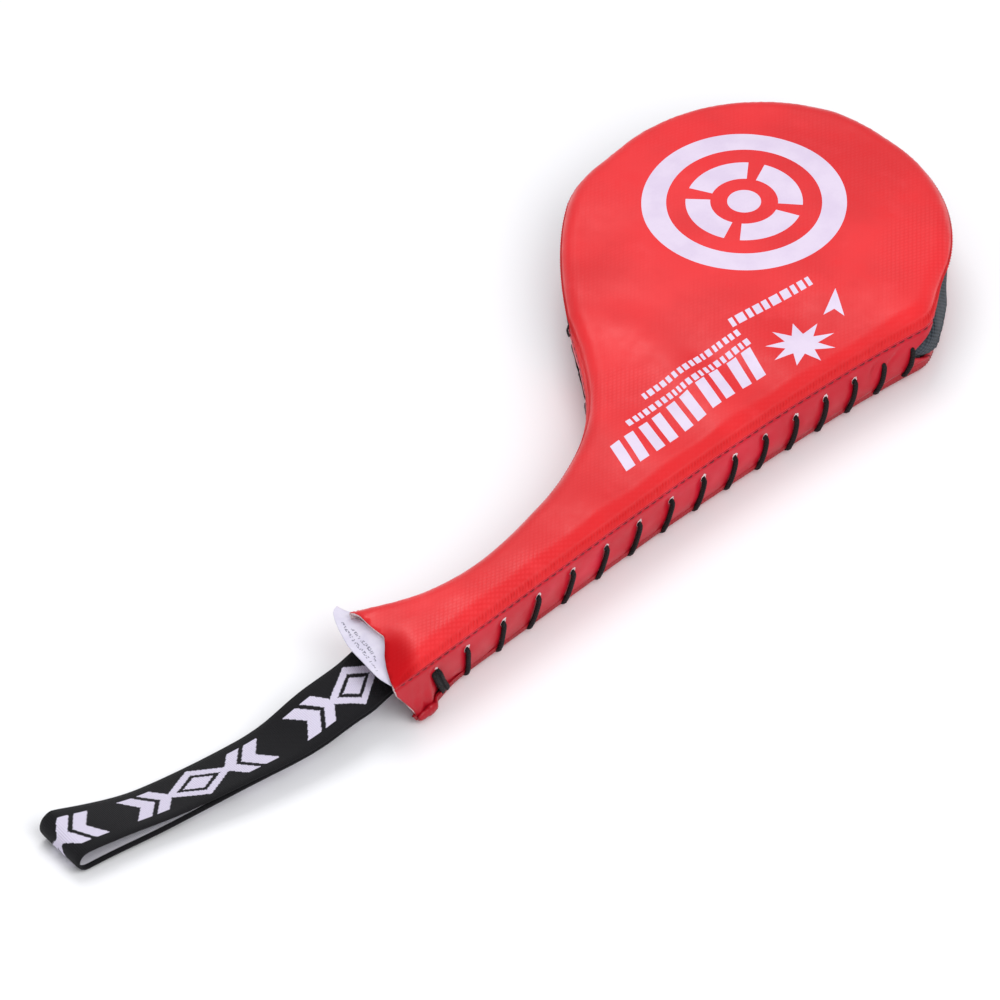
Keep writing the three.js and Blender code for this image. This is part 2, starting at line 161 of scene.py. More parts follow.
def place(s):
    """Points and outward normals at distances along the outline, which runs on straight past its ends."""
    s = np.atleast_1d(np.asarray(s, float))
    inside = np.clip(s, 0, LENGTH)

    def at(d):
        return np.stack([np.interp(d, OUTLINE_AT, OUTLINE[:, k]) for k in (0, 1)], -1)

    step = 1.5
    tangent = at(np.minimum(inside + step, LENGTH)) - at(np.maximum(inside - step, 0))
    tangent /= np.linalg.norm(tangent, axis=1)[:, None]
    point = at(inside) + (s - inside)[:, None] * tangent
    return point, np.stack([tangent[:, 1], -tangent[:, 0]], -1)


def nearest(xy):
    """Distance from plan points to the outline, and how far along it the nearest place is."""
    stations = np.arange(-20, LENGTH + 20, 0.8)
    sample = place(stations)[0]
    best = np.full(len(xy), 1e9)
    along = np.zeros(len(xy))
    for start in range(0, len(sample), 200):
        gap = np.linalg.norm(xy[:, None] - sample[None, start:start + 200], axis=2)
        closest = gap.argmin(1)
        lowest = gap[np.arange(len(xy)), closest]
        along = np.where(lowest < best, stations[start + closest], along)
        best = np.minimum(best, lowest)
    return best, along


def edge_distance(xy):
    return nearest(xy)[0]


def smoothstep(x, low, high):
    t = np.clip((np.asarray(x, float) - low) / (high - low), 0, 1)
    return t * t * (3 - 2 * t)


def ripple(x, y, size, seed):
    """Smooth unevenness, about -1 to 1, from a few waves of a seeded direction and phase."""
    rng = np.random.default_rng(seed)
    total = np.zeros(np.broadcast(x, y).shape)
    for _ in range(7):
        angle, phase, stretch = rng.uniform(0, math.tau), rng.uniform(0, math.tau), rng.uniform(0.6, 1.7)
        wave = (np.cos(angle) * x + np.sin(angle) * y) * math.tau / (size * stretch)
        total = total + np.sin(wave + phase)
    return total / 3.5


def stitch_places(lace):
    k = np.arange(lace["count"])
    return lace["first"] + lace["spacing"] * k + lace["change"] * k * (k - 1) / 2


RIGHT_STITCHES = stitch_places(RIGHT_LACE)
RIGHT_STITCHES[0] += 3.2
LEFT_STITCHES = LENGTH - stitch_places(LEFT_LACE)

MOUTH_RIGHT = np.array(RIGHT_SIDE[0], float)
MOUTH_LEFT = np.array(LEFT_GRIP[3], float)
MOUTH_MIDDLE = (MOUTH_RIGHT + MOUTH_LEFT) / 2
MOUTH_WIDTH = np.linalg.norm(MOUTH_RIGHT - MOUTH_LEFT)
MOUTH_ALONG = (MOUTH_RIGHT - MOUTH_LEFT) / MOUTH_WIDTH
MOUTH_OUT = np.array([MOUTH_ALONG[1], -MOUTH_ALONG[0]])


def mouth_point(along, out, height):
    xy = MOUTH_MIDDLE + np.multiply.outer(along, MOUTH_ALONG) + np.multiply.outer(out, MOUTH_OUT)
    height = np.broadcast_to(np.asarray(height, float)[..., None], xy.shape[:-1] + (1,))
    return np.concatenate([xy, height], -1)


def mouth_coordinates(xy):
    """Share along the mouth line from its left corner, and distance out of it."""
    return (xy - MOUTH_LEFT) @ MOUTH_ALONG / MOUTH_WIDTH, (xy - MOUTH_LEFT) @ MOUTH_OUT


# How far the side stands in under the seam, by distance along the outline.
TUCK_PLACES = [0, 150, 220, RIGHT_END - 15, RIGHT_END + 6, RIGHT_END + 16, RIGHT_END + 22, RIGHT_END + 32,
               RIGHT_END + 60, RIGHT_END + 85, LEFT_START - 70, LEFT_START - 10, LENGTH - 185, LENGTH - 153,
               LENGTH - 120, LENGTH]
TUCK_DEPTHS = [1.6, 1.6, 0.2, -0.2, -1.2, -1.6, -1.0, 2.2, 2.4, 1.2, 1.3, 3.4, 3.0, 1.2, 2.8, 3.4]
# Where the head's arc starts along the outline, and the length of one degree of it.
HEAD_FROM = 320.0
HEAD_DEGREE = HEAD_RADIUS * math.pi / 180
HEAD_TURNS = [0, 42, 61, 80, 100, 122, 138, 152, 166, 180]
# How far the padded edge overhangs the seam, by distance along the outline.
OVERHANG_PLACES = [0, RIGHT_END - 14, RIGHT_END + 8, *(HEAD_FROM + turn * HEAD_DEGREE for turn in HEAD_TURNS),
                   LEFT_START, LEFT_START + 18, LEFT_START + 50, LENGTH - 60, LENGTH]
OVERHANGS = [0.2, 0.2, 0.3, 1.9, 0.4, -0.3, 1.8, 1.0, -0.6, -2.0, -1.4, -0.3, 1.0, 1.2, -0.6, -0.6, -0.6, 0.0]


def tuck(s, z):
    """How far the side stands in under the seam, growing towards the back."""
    full = np.interp(s, TUCK_PLACES, TUCK_DEPTHS)
    return full * smoothstep(SEAM - np.asarray(z, float), 1, 15)


def seam_lift(s):
    """The seam rises a little to the mouth's left corner."""
    return 2.6 * bump(s, LENGTH, 13)


def overhang(s):
    """How far the face's padded edge stands out past the seam."""
    return np.interp(s, OVERHANG_PLACES, OVERHANGS)


# ---- Meshes ----


def mesh_object(name, points, faces, materials, uv=None, face_material=None):
    mesh = bpy.data.meshes.new(name)
    mesh.from_pydata((np.asarray(points, float) * MM).tolist(), [], [tuple(f) for f in faces])
    mesh.polygons.foreach_set("use_smooth", [True] * len(mesh.polygons))
    for material in materials:
        mesh.materials.append(material)
    if face_material is not None:
        mesh.polygons.foreach_set("material_index", np.asarray(face_material, np.int32))
    if uv is not None:
        layer = mesh.uv_layers.new(name="cloth")
        corners = np.zeros(len(mesh.loops), np.int32)
        mesh.loops.foreach_get("vertex_index", corners)
        layer.data.foreach_set("uv", np.asarray(uv, np.float32)[corners].ravel())
    mesh.update()
    piece = bpy.data.objects.new(name, mesh)
    scene.collection.objects.link(piece)
    return piece


def grid_faces(rows, columns, closed=False, flip=False):
    """Quads of a grid of points, row by row. A closed grid joins its last column to its first."""
    faces = []
    for r in range(rows - 1):
        for c in range(columns if closed else columns - 1):
            d = (c + 1) % columns
            quad = (r * columns + c, r * columns + d, (r + 1) * columns + d, (r + 1) * columns + c)
            faces.append(quad[::-1] if flip else quad)
    return faces


def capped_faces(rows, columns):
    """Quads of a closed grid of points, and a cap over its first row and its last."""
    first = tuple(range(columns))
    last = tuple(range((rows - 1) * columns, rows * columns))
    return grid_faces(rows, columns, closed=True) + [first[::-1], last]


def apply_modifiers(piece):
    graph = bpy.context.evaluated_depsgraph_get()
    final = bpy.data.meshes.new_from_object(piece.evaluated_get(graph))
    piece.modifiers.clear()
    piece.data = final


def thicken(piece, thickness, rim=0):
    """Gives a sheet its thickness, inwards, with rim as the material step of its edge."""
    solid = piece.modifiers.new("thickness", "SOLIDIFY")
    solid.thickness = thickness * MM
    solid.offset = -1
    solid.material_offset_rim = rim
    solid.material_offset = rim
    apply_modifiers(piece)
    # Only a sheet's standing edges show their backing; its top and bottom edges are turned in.
    for polygon in piece.data.polygons:
        if rim and polygon.material_index == rim and abs(polygon.normal.z) > 0.7:
            polygon.material_index = 0


def tube(path, radius, sides):
    """A capped tube along a path: its points, quads, and uv of turn and length."""
    path = np.asarray(path, float)
    tangent = np.gradient(path, axis=0)
    tangent /= np.linalg.norm(tangent, axis=1)[:, None]
    normal = np.array([0.0, 0.0, 1.0])
    at = cumulative(path)
    points, uv = [], []
    for i in range(len(path)):
        normal = normal - tangent[i] * (normal @ tangent[i])
        normal /= np.linalg.norm(normal)
        side = np.cross(tangent[i], normal)
        for k in range(sides):
            angle = math.tau * k / sides
            points.append(path[i] + radius * (math.cos(angle) * normal + math.sin(angle) * side))
            uv.append((k / sides, at[i]))
    return np.array(points), capped_faces(len(path), sides), np.array(uv)


def join(parts):
    """One mesh's points, faces and uv from several."""
    points, faces, uv, start = [], [], [], 0
    for p, f, u in parts:
        points.append(p)
        uv.append(u)
        faces += [tuple(i + start for i in face) for face in f]
        start += len(p)
    return np.vstack(points), faces, np.vstack(uv)


def smooth_path(points, step):
    """A Catmull-Rom curve through the points, sampled about every step."""
    p = np.asarray(points, float)
    p = np.vstack([2 * p[0] - p[1], p, 2 * p[-1] - p[-2]])
    out = []
    for i in range(1, len(p) - 2):
        a, b, c, d = p[i - 1:i + 3]
        count = max(2, int(np.linalg.norm(c - b) / step))
        t = np.linspace(0, 1, count, endpoint=False)[:, None]
        out.append(0.5 * (2 * b + (c - a) * t + (2 * a - 5 * b + 4 * c - d) * t**2
                          + (3 * b - a - 3 * c + d) * t**3))
    return np.vstack(out + [p[-2:-1]])


# ---- Materials ----


class Nodes:
    """Builds a node tree with short calls. A number, a colour or another node's output fits any input."""

    def __init__(self, name):
        self.material = bpy.data.materials.new(name)
        self.material.use_nodes = True
        self.tree = self.material.node_tree
        self.tree.nodes.clear()
        self.output = self.tree.nodes.new("ShaderNodeOutputMaterial")

    def put(self, socket, value):
        if isinstance(value, bpy.types.NodeSocket):
            self.tree.links.new(value, socket)
        else:
            socket.default_value = value

    def node(self, kind, out=0, settings=None, **inputs):
        node = self.tree.nodes.new("ShaderNode" + kind)
        for key, value in (settings or {}).items():
            setattr(node, key, value)
        for key, value in inputs.items():
            self.put(node.inputs[key.replace("_", " ")], value)
        return node.outputs[out]

    def math(self, operation, *values):
        node = self.tree.nodes.new("ShaderNodeMath")
        node.operation = operation
        for socket, value in zip(node.inputs, values):
            self.put(socket, value)
        return node.outputs[0]

    def times(self, a, b):
        return self.math("MULTIPLY", a, b)

    def over(self, a, b):
        return self.math("DIVIDE", a, b)

    def plus(self, a, b):
        return self.math("ADD", a, b)

    def minus(self, a, b):
        return self.math("SUBTRACT", a, b)

    def size(self, value):
        return self.math("ABSOLUTE", value)

    def wave(self, value):
        return self.math("SINE", value)

    def where(self, kind="Object"):
        return self.node("TexCoord", out=kind)

    def split(self, vector):
        node = self.tree.nodes.new("ShaderNodeSeparateXYZ")
        self.put(node.inputs[0], vector)
        return node.outputs

    def noise(self, vector, size, detail=3.0, roughness=0.55):
        """Noise of about the given grain size in millimetres."""
        return self.node("TexNoise", Vector=vector, Scale=1 / (size * MM), Detail=detail, Roughness=roughness)

    def mix(self, share, a, b):
        node = self.tree.nodes.new("ShaderNodeMix")
        node.data_type = "RGBA"
        self.put(node.inputs["Factor"], share)
        self.put(node.inputs["A"], a)
        self.put(node.inputs["B"], b)
        return node.outputs["Result"]

    def ramp(self, value, low, high, to_low=0.0, to_high=1.0):
        node = self.tree.nodes.new("ShaderNodeMapRange")
        node.interpolation_type = "SMOOTHSTEP"
        for socket, v in zip(node.inputs, (value, low, high, to_low, to_high)):
            self.put(socket, v)
        return node.outputs[0]

    def bump(self, height, depth, strength=1.0):
        """A bump of a real depth in millimetres, for a height from 0 to 1."""
        return self.node("Bump", Height=height, Distance=depth * MM, Strength=strength)

    def finish(self, colour, roughness, normal=None, **constants):
        shader = self.tree.nodes.new("ShaderNodeBsdfPrincipled")
        self.put(shader.inputs["Base Color"], colour)
        self.put(shader.inputs["Roughness"], roughness)
        if normal is not None:
            self.put(shader.inputs["Normal"], normal)
        for key, value in constants.items():
            self.put(shader.inputs[key.replace("_", " ")], value)
        self.tree.links.new(shader.outputs[0], self.output.inputs[0])
        return self.material


def srgb(red, green, blue):
    """A colour given on screen from 0 to 255, as the shader's linear colour."""
    def linear(v):
        v /= 255
        return v / 12.92 if v <= 0.04045 else ((v + 0.055) / 1.055) ** 2.4
    return (linear(red), linear(green), linear(blue), 1.0)


def diamond_grain(n, where, pitch):
    """The embossed diamond pattern: ridges between two crossing families of grooves."""
    x, y, _ = n.split(where)
    lines = []
    for sign in (1, -1):
        across = n.math("MULTIPLY_ADD", y, sign * 0.62, x)
        turn = n.times(across, math.pi / (pitch * MM))
        lines.append(n.size(n.wave(turn)))
    return n.math("POWER", n.times(*lines), 0.5)


# Where the embossing stands out most: centre x and y, half-lengths along x and y, and turn in degrees.
WORN_PATCHES = [(57, 31, 16, 30, 10), (20, -228, 9, 52, -11), (3, -100, 13, 22, -35)]
# Where the face is pressed in by the mouth, and painted shade darkens it.
PAINTED_DENT_SHADE = (10.5, -273, 16, 9, -47)
# Where painted shade darkens the side leather towards the mouth: from and to, along y.
PAINTED_MOUTH_SHADE = (-222, -268)
# Where it darkens towards the floor: from and to, in height.
SHADED = (13, 3)


def ellipse(n, where, patch):
    """Squared distance from a patch's centre, 1 on its rim."""
    x, y, _ = n.split(where)
    centre_x, centre_y, half_x, half_y, turn = patch
    c, s = math.cos(math.radians(turn)), math.sin(math.radians(turn))
    dx, dy = n.minus(x, centre_x * MM), n.minus(y, centre_y * MM)
    across = n.plus(n.times(dx, c), n.times(dy, s))
    along = n.minus(n.times(dy, c), n.times(dx, s))
    across, along = n.over(across, half_x * MM), n.over(along, half_y * MM)
    return n.plus(n.times(across, across), n.times(along, along))


def worn_patches(n, where):
    strength = 0.0
    for patch in WORN_PATCHES:
        strength = n.math("MAXIMUM", strength, n.ramp(ellipse(n, where, patch), 1.6, 0.2))
    return strength


def leather(name, colour, dark, light, embossed, roughness=0.36, shine=0.5, coat=0.0):
    n = Nodes(name)
    where = n.where()
    cloud = n.ramp(n.noise(where, 55, 4), 0.35, 0.68)
    fine = n.noise(where, 0.55, 2)
    tint = n.mix(cloud, colour, dark)
    tint = n.mix(n.times(n.ramp(n.noise(where, 18, 3), 0.55, 0.8), 0.35), tint, light)
    grain = n.times(fine, 0.35)
    if embossed:
        patch = n.ramp(n.noise(where, 38, 2), 0.35, 0.7, 0.12, 0.5)
        patch = n.math("MAXIMUM", patch, worn_patches(n, where))
        pattern = diamond_grain(n, where, 1.9)
        grain = n.plus(grain, n.times(pattern, patch))
        grooves = n.times(n.minus(1.0, pattern), patch)
        tint = n.mix(n.times(grooves, 0.3), tint, dark)
        ridges = n.times(n.math("POWER", pattern, 3.0), patch)
        tint = n.mix(n.times(ridges, 0.3), tint, light)
        # Painted shade: the face is darkened round its dent by the mouth, and its shine is lowered and its
        # roughness raised there.
        dent_shade = n.ramp(ellipse(n, where, PAINTED_DENT_SHADE), 1.5, 0.1)
        tint = n.mix(n.times(dent_shade, 0.8), tint, srgb(172, 20, 26))
        shine = n.times(n.minus(1.0, dent_shade), shine)
    else:
        _, y, z = n.split(where)
        # Painted shade: the side leather darkens towards the mouth.
        tint = n.mix(n.ramp(y, PAINTED_MOUTH_SHADE[0] * MM, PAINTED_MOUTH_SHADE[1] * MM, 0.0, 0.75), tint, srgb(172, 10, 27))
        tint = n.mix(n.ramp(z, SHADED[0] * MM, SHADED[1] * MM, 0.0, 0.6), tint, srgb(148, 9, 26))
    rough = n.ramp(n.noise(where, 7, 4), 0.3, 0.75, roughness - 0.06, roughness + 0.1)
    if embossed:
        rough = n.math("MULTIPLY_ADD", dent_shade, 0.3, rough)
    normal = n.bump(grain, 0.06 if embossed else 0.05)
    return n.finish(tint, rough, normal, Coat_Weight=coat, Coat_Roughness=0.25, Specular_IOR_Level=shine)


def print_ink():
    n = Nodes("print_ink")
    where = n.where()
    tint = n.mix(n.ramp(n.noise(where, 12, 3), 0.35, 0.7), srgb(224, 209, 230), srgb(216, 200, 224))
    grain = n.plus(n.times(diamond_grain(n, where, 2.1), 0.5), n.times(n.noise(where, 0.5, 2), 0.35))
    rough = n.ramp(n.noise(where, 5, 3), 0.3, 0.7, 0.42, 0.56)
    return n.finish(tint, rough, n.bump(grain, 0.06))


def charcoal_weave():
    """Plain woven polyester: over-and-under threads from the cloth's own coordinates, in millimetres."""
    n = Nodes("charcoal_weave")
    u, v, _ = n.split(n.where("UV"))
    thread = 0.9
    across = n.wave(n.times(u, math.pi / thread))
    along = n.wave(n.times(v, math.pi / thread))
    over = n.times(across, along)
    height = n.ramp(over, -0.9, 0.9)
    where = n.where()
    worn = n.ramp(n.noise(where, 9, 4), 0.4, 0.75)
    tint = n.mix(height, srgb(30, 35, 40), srgb(66, 73, 80))
    tint = n.mix(n.times(worn, 0.4), tint, srgb(84, 88, 98))
    return n.finish(tint, 0.85, n.bump(height, 0.22), Specular_IOR_Level=0.2,
                    Sheen_Weight=0.08, Sheen_Roughness=0.4)


def braided_cord():
    n = Nodes("braided_cord")
    u, v, _ = n.split(n.where("UV"))
    strands = []
    for sign in (1, -1):
        turn = n.math("MULTIPLY_ADD", u, sign * 3.0, n.times(v, 0.85))
        strands.append(n.size(n.wave(n.times(turn, math.pi))))
    height = n.times(*strands)
    tint = n.mix(height, srgb(6, 5, 7), srgb(30, 25, 27))
    tint = n.mix(n.ramp(n.noise(n.where(), 1.2, 3), 0.55, 0.8), tint, srgb(44, 36, 37))
    return n.finish(tint, 0.65, n.bump(height, 0.25), Specular_IOR_Level=0.25)


def frayed_backing():
    n = Nodes("frayed_backing")
    where = n.where()
    fibre = n.noise(where, 0.35, 3)
    tint = n.mix(n.ramp(fibre, 0.35, 0.7), srgb(196, 160, 164), srgb(250, 240, 240))
    return n.finish(tint, 0.85, n.bump(fibre, 0.25))


def hole_shadow():
    n = Nodes("hole_shadow")
    tint = n.mix(n.noise(n.where(), 0.8, 2), srgb(22, 4, 8), srgb(50, 12, 18))
    return n.finish(tint, 0.9)


def thread(name, dark, light):
    n = Nodes(name)
    u, v, _ = n.split(n.where("UV"))
    twist = n.wave(n.times(n.math("MULTIPLY_ADD", v, 3.4, u), math.tau))
    height = n.ramp(twist, -1, 1)
    return n.finish(n.mix(height, dark, light), 0.55, n.bump(height, 0.06))


def satin():
    """Satin ribbon: fine ribs one way, with a soft sheen."""
    n = Nodes("satin")
    u, v, _ = n.split(n.where("UV"))
    rib = n.ramp(n.wave(n.times(u, math.tau / 0.35)), -1, 1)
    tint = n.mix(n.ramp(n.noise(n.where(), 9, 3), 0.35, 0.7), srgb(212, 207, 226), srgb(226, 222, 236))
    return n.finish(n.mix(n.times(rib, 0.12), tint, srgb(196, 190, 214)), 0.42, n.bump(rib, 0.03),
                    Sheen_Weight=0.4, Sheen_Roughness=0.3, Anisotropic=0.5)


def label_ink():
    n = Nodes("label_ink")
    tint = n.mix(n.noise(n.where(), 0.7, 2), srgb(112, 110, 128), srgb(146, 144, 160))
    return n.finish(tint, 0.6)


def diamond(n, a, b, half_a, half_b):
    """Above zero inside a lozenge."""
    return n.minus(1.0, n.plus(n.over(n.size(a), half_a), n.over(n.size(b), half_b)))


def over_zero(n, value):
    return n.math("GREATER_THAN", value, 0.0)


FIGURE_SHIFT = 16.0
FIGURE_PERIOD = 76.0
FIGURE_THREAD = 0.55


def on_thread(n, value):
    """A place in the cloth moved to the middle of its nearest thread."""
    return n.times(n.math("ROUND", n.over(value, FIGURE_THREAD)), FIGURE_THREAD)


def webbing_pattern(n, u, v):
    """White figure of the jacquard: a ringed lozenge between stepped chevrons, on whole threads."""
    b = on_thread(n, u)
    shifted = n.math("FLOORED_MODULO", n.plus(on_thread(n, v), FIGURE_SHIFT), FIGURE_PERIOD)
    a = n.minus(shifted, FIGURE_PERIOD / 2)
    ring = n.minus(over_zero(n, diamond(n, a, b, 15, 9.8)), over_zero(n, diamond(n, a, b, 9.6, 6.2)))
    heart = over_zero(n, diamond(n, a, b, 6.6, 4.3))
    reach = n.math("MULTIPLY_ADD", n.size(b), -0.75, n.size(a))
    low = n.math("LESS_THAN", n.size(b), 7.8)
    chevrons = 0.0
    for centre, half in ((14.2, 2.7), (22.4, 3.2)):
        band = n.math("LESS_THAN", n.size(n.minus(reach, centre)), half)
        chevrons = n.math("MAXIMUM", chevrons, n.times(band, low))
    return n.math("MAXIMUM", n.math("MAXIMUM", ring, heart), chevrons)


def webbing(name, outer):
    """Elastic webbing: cross ribs, a figure on the outer face, a pale inner face between black borders."""
    n = Nodes(name)
    u, v, _ = n.split(n.where("UV"))
    rib = n.ramp(n.wave(n.times(v, math.tau / 0.8)), -1, 1)
    cord = n.ramp(n.wave(n.times(u, math.tau / 0.55)), -1, 1)
    height = n.math("MULTIPLY_ADD", cord, 0.35, n.times(rib, 0.65))
    black = n.mix(height, srgb(5, 5, 7), srgb(20, 19, 23))
    white = n.mix(height, srgb(196, 188, 212), srgb(232, 226, 242))
    if outer:
        figure = webbing_pattern(n, u, v)
    else:
        white = n.mix(height, srgb(150, 148, 156), srgb(236, 234, 240))
        figure = n.math("LESS_THAN", n.size(u), STRAP_WIDTH / 2 - 1.8)
    lint = n.ramp(n.noise(n.where("UV"), 900, 4), 0.5, 0.8)
    tint = n.mix(n.times(lint, 0.1), n.mix(figure, black, white), srgb(74, 72, 82))
    raised = n.math("MULTIPLY_ADD", figure, 0.5, height)
    return n.finish(tint, 0.75, n.bump(raised, 0.16), Specular_IOR_Level=0.2,
                    Sheen_Weight=0.03, Sheen_Roughness=0.5)


def foam(name, dark, light):
    n = Nodes(name)
    cells = n.node("TexVoronoi", Vector=n.where(), Scale=1 / (1.1 * MM))
    return n.finish(n.mix(cells, dark, light), 0.9, n.bump(cells, 0.3))


def board():
    n = Nodes("board")
    where = n.where()
    tint = n.mix(n.noise(where, 20, 4), srgb(206, 206, 198), srgb(224, 224, 218))
    return n.finish(tint, 0.5, n.bump(n.noise(where, 1.5, 3), 0.06))


def batten_wood():
    n = Nodes("batten_wood")
    x, y, z = n.split(n.where())
    stretched = n.node("CombineXYZ", X=x, Y=n.times(y, 0.08), Z=z)
    grain = n.noise(stretched, 1.2, 5)
    return n.finish(n.mix(grain, srgb(150, 108, 62), srgb(206, 166, 112)), 0.6, n.bump(grain, 0.15))


FACE_RED = leather("face_leather", srgb(232, 31, 37), srgb(214, 20, 27), srgb(238, 62, 69),
                   True, shine=0.4, coat=0.03)
SIDE_RED = leather("side_leather", srgb(207, 21, 47), srgb(187, 13, 35), srgb(217, 48, 76),
                   False, 0.36, shine=0.3)
BACK_RED = leather("back_leather", srgb(210, 28, 46), srgb(188, 18, 36), srgb(218, 50, 68),
                   False, 0.4, shine=0.3)
INK = print_ink()
WEAVE = charcoal_weave()
CORD = braided_cord()
FRAY = frayed_backing()
HOLE = hole_shadow()
RED_THREAD = thread("red_thread", srgb(96, 8, 22), srgb(150, 20, 38))
DARK_THREAD = thread("dark_thread", srgb(18, 14, 18), srgb(52, 40, 46))
SATIN = satin()
LABEL_INK = label_ink()
STRAP_OUTER = webbing("webbing_outer", True)
STRAP_INNER = webbing("webbing_inner", False)

# ---- Panels: the striking face and the back ----

RING_ANGLES = np.radians([0, 9, 18, 27, 36, 45, 54, 63, 72, 81, 90])
PANEL_STEP = 1.6
PANEL_GRID = 2.3
RIM_STATIONS = np.append(np.arange(0, LENGTH, PANEL_STEP), LENGTH)
# The face's open end, by share of the mouth from its left corner: how far its edge is cut back, and
# its height.
END_SHARES = [0.0, 0.154, 0.278, 0.396, 0.497, 0.591, 0.676, 0.793, 0.922, 1.0]
END_RECESS = [0.0, 1.65, 2.7, 3.9, 5.3, 3.8, 2.1, 0.75, 0.0, 0.0]
END_HEIGHT = [25.4, 28.5, 29.5, 30.2, 30.4, 29.0, 27.7, 26.7, 25.5, 25.0]


def mouth_recess(share, amount):
    return amount * np.interp(share, END_SHARES, END_RECESS)


def panel_plan(radius, recess, figures=()):
    """Plan points and triangles of a panel: its rim, its mouth edge, rings near the rim, the edges of
    any printed figures, and a regular grid. Also which triangles are printed."""
    rim = place(RIM_STATIONS)[0]
    shares = np.linspace(0, 1, 46)[1:-1]
    cut_back = np.outer(mouth_recess(shares, recess), MOUTH_OUT)
    mouth = MOUTH_LEFT + np.outer(shares, MOUTH_ALONG) * MOUTH_WIDTH - cut_back
    boundary = np.vstack([rim, mouth])
    inner = []
    for angle in RING_ANGLES[1:]:
        inset = radius * (1 - math.cos(angle))
        stations = np.arange(-14, LENGTH + 14, PANEL_STEP if inset < 4 else 2)
        p, normal = place(stations)
        ring = p - normal * inset
        inner.append(ring[edge_distance(ring) > inset - 0.08])
    low, high = OUTLINE.min(0), OUTLINE.max(0)
    xs = np.arange(low[0], high[0], PANEL_GRID)
    ys = np.arange(low[1], high[1], PANEL_GRID * 0.866)
    grid = np.array([(x + (j % 2) * PANEL_GRID / 2, y) for j, y in enumerate(ys) for x in xs])
    grid = grid[inside_loop(grid, CLOSED_OUTLINE)]
    grid = grid[edge_distance(grid) > radius + 1.2]
    loops = [divided(loop, 1.5) for loop in figures]
    if loops:
        drawn = np.vstack(loops)
        near = np.full(len(grid), 1e9)
        for start in range(0, len(drawn), 300):
            gap = np.linalg.norm(grid[:, None] - drawn[None, start:start + 300], axis=2)
            near = np.minimum(near, gap.min(1))
        grid = grid[near > 0.7]
    inner = np.vstack(inner + [grid])
    inner = inner[inside_loop(inner, CLOSED_OUTLINE)]
    share, out = mouth_coordinates(inner)
    inner = inner[out < -mouth_recess(share, recess) - 0.7]
    points = np.vstack([boundary] + loops + [inner])
    edges, start = [], 0
    for loop in [boundary] + loops:
        edges += [(start + i, start + (i + 1) % len(loop)) for i in range(len(loop))]
        start += len(loop)
    flat, _, faces, _, _, _ = delaunay_2d_cdt([Vector(p) for p in points], edges, [], 1, 1e-5)
    flat = np.array([tuple(p) for p in flat])
    centres = flat[np.array([tuple(f) for f in faces])].mean(1)
    printed = np.zeros(len(faces), bool)
    for loop in loops:
        printed ^= inside_loop(centres, loop)
    return flat, [tuple(f) for f in faces], printed


def with_edge(points, faces, rows, flip=False):
    """A panel with more rows of points sewn on along its rim, each with its inset and heights."""
    p, normal = place(RIM_STATIONS)
    count = len(p)
    previous = np.arange(count)
    for inset, heights in rows:
        ring = len(points) + np.arange(count)
        points = np.vstack([points, np.column_stack([p - normal * inset, heights])])
        for i in range(count - 1):
            quad = (previous[i], ring[i], ring[i + 1], previous[i + 1])
            faces.append(quad[:1] + quad[:0:-1] if flip else quad)
        previous = ring
    return points, faces


def divided(loop, step):
    """A closed loop with points no further apart than the step."""
    out = []
    for a, b in zip(loop, np.roll(loop, -1, axis=0)):
        count = max(1, math.ceil(np.linalg.norm(b - a) / step))
        out += [a + (b - a) * i / count for i in range(count)]
    return np.array(out)


def inside_loop(points, loop):
    """Which points lie inside a closed loop."""
    inside = np.zeros(len(points), bool)
    for a, b in zip(loop, np.roll(loop, -1, axis=0)):
        crosses = np.where((a[1] > points[:, 1]) != (b[1] > points[:, 1]))[0]
        x = a[0] + (points[crosses, 1] - a[1]) / (b[1] - a[1] or 1) * (b[0] - a[0])
        inside[crosses] ^= points[crosses, 0] < x
    return inside


CLOSED_OUTLINE = np.vstack([OUTLINE[::4], OUTLINE[-1:]])

# ---- Printed figures on the face: a plain bullseye, stripes, a burst, a pennant and rows of dashes ----

RING_CENTRE = (-12.7, 13.5)
STRIPE_PLACES = [(37.6, -64.8), (33.6, -81), (30.7, -97.2), (28, -112.9), (24.5, -128)]
STRIPE_TURNS = [75, 78, 80, 79, 76]


def circle(centre, radius, steps):
    angle = np.linspace(0, math.tau, steps, endpoint=False)
    return np.stack([centre[0] + radius * np.cos(angle), centre[1] + radius * np.sin(angle)], -1)


def turned(points, centre, degrees):
    c, s = math.cos(math.radians(degrees)), math.sin(math.radians(degrees))
    p = np.asarray(points, float)
    return np.stack([centre[0] + c * p[:, 0] - s * p[:, 1], centre[1] + s * p[:, 0] + c * p[:, 1]], -1)


def bullseye():
    """An outer ring, a broken inner ring and a dot."""
    loops = [circle(RING_CENTRE, 39.4, 200), circle(RING_CENTRE, 29.9, 160), circle(RING_CENTRE, 6.5, 40)]
    for quarter in range(4):
        angles = np.radians(np.linspace(8, 82, 24) + 90 * quarter + 20)
        sweep = np.stack([np.cos(angles), np.sin(angles)], -1)
        loops.append(np.array(RING_CENTRE) + np.vstack([sweep * 22.5, sweep[::-1] * 13.0]))
    return loops


def stripes():
    """Pairs of slanted stripes that follow the grip."""
    bar = np.array([(-4.9, -7.2), (-0.1, -7.2), (4.9, 7.2), (0.1, 7.2)])
    loops = []
    for centre, turn in zip(STRIPE_PLACES, STRIPE_TURNS):
        for shift in (-3.7, 3.7):
            loops.append(turned(bar + (shift, 0), centre, turn))
    return loops


def burst():
    spikes = []
    for k in range(18):
        radius = 11.5 if k % 2 == 0 else 5.4
        spikes.append((1.25 * radius * math.cos(math.tau * k / 18), radius * math.sin(math.tau * k / 18)))
    pennant = [(-7.5, -4), (6.5, 0), (-7.5, 4), (-4.2, 0)]
    return [turned(spikes, (47.6, -41.3), 60), turned(pennant, (45.9, -14.5), 120)]


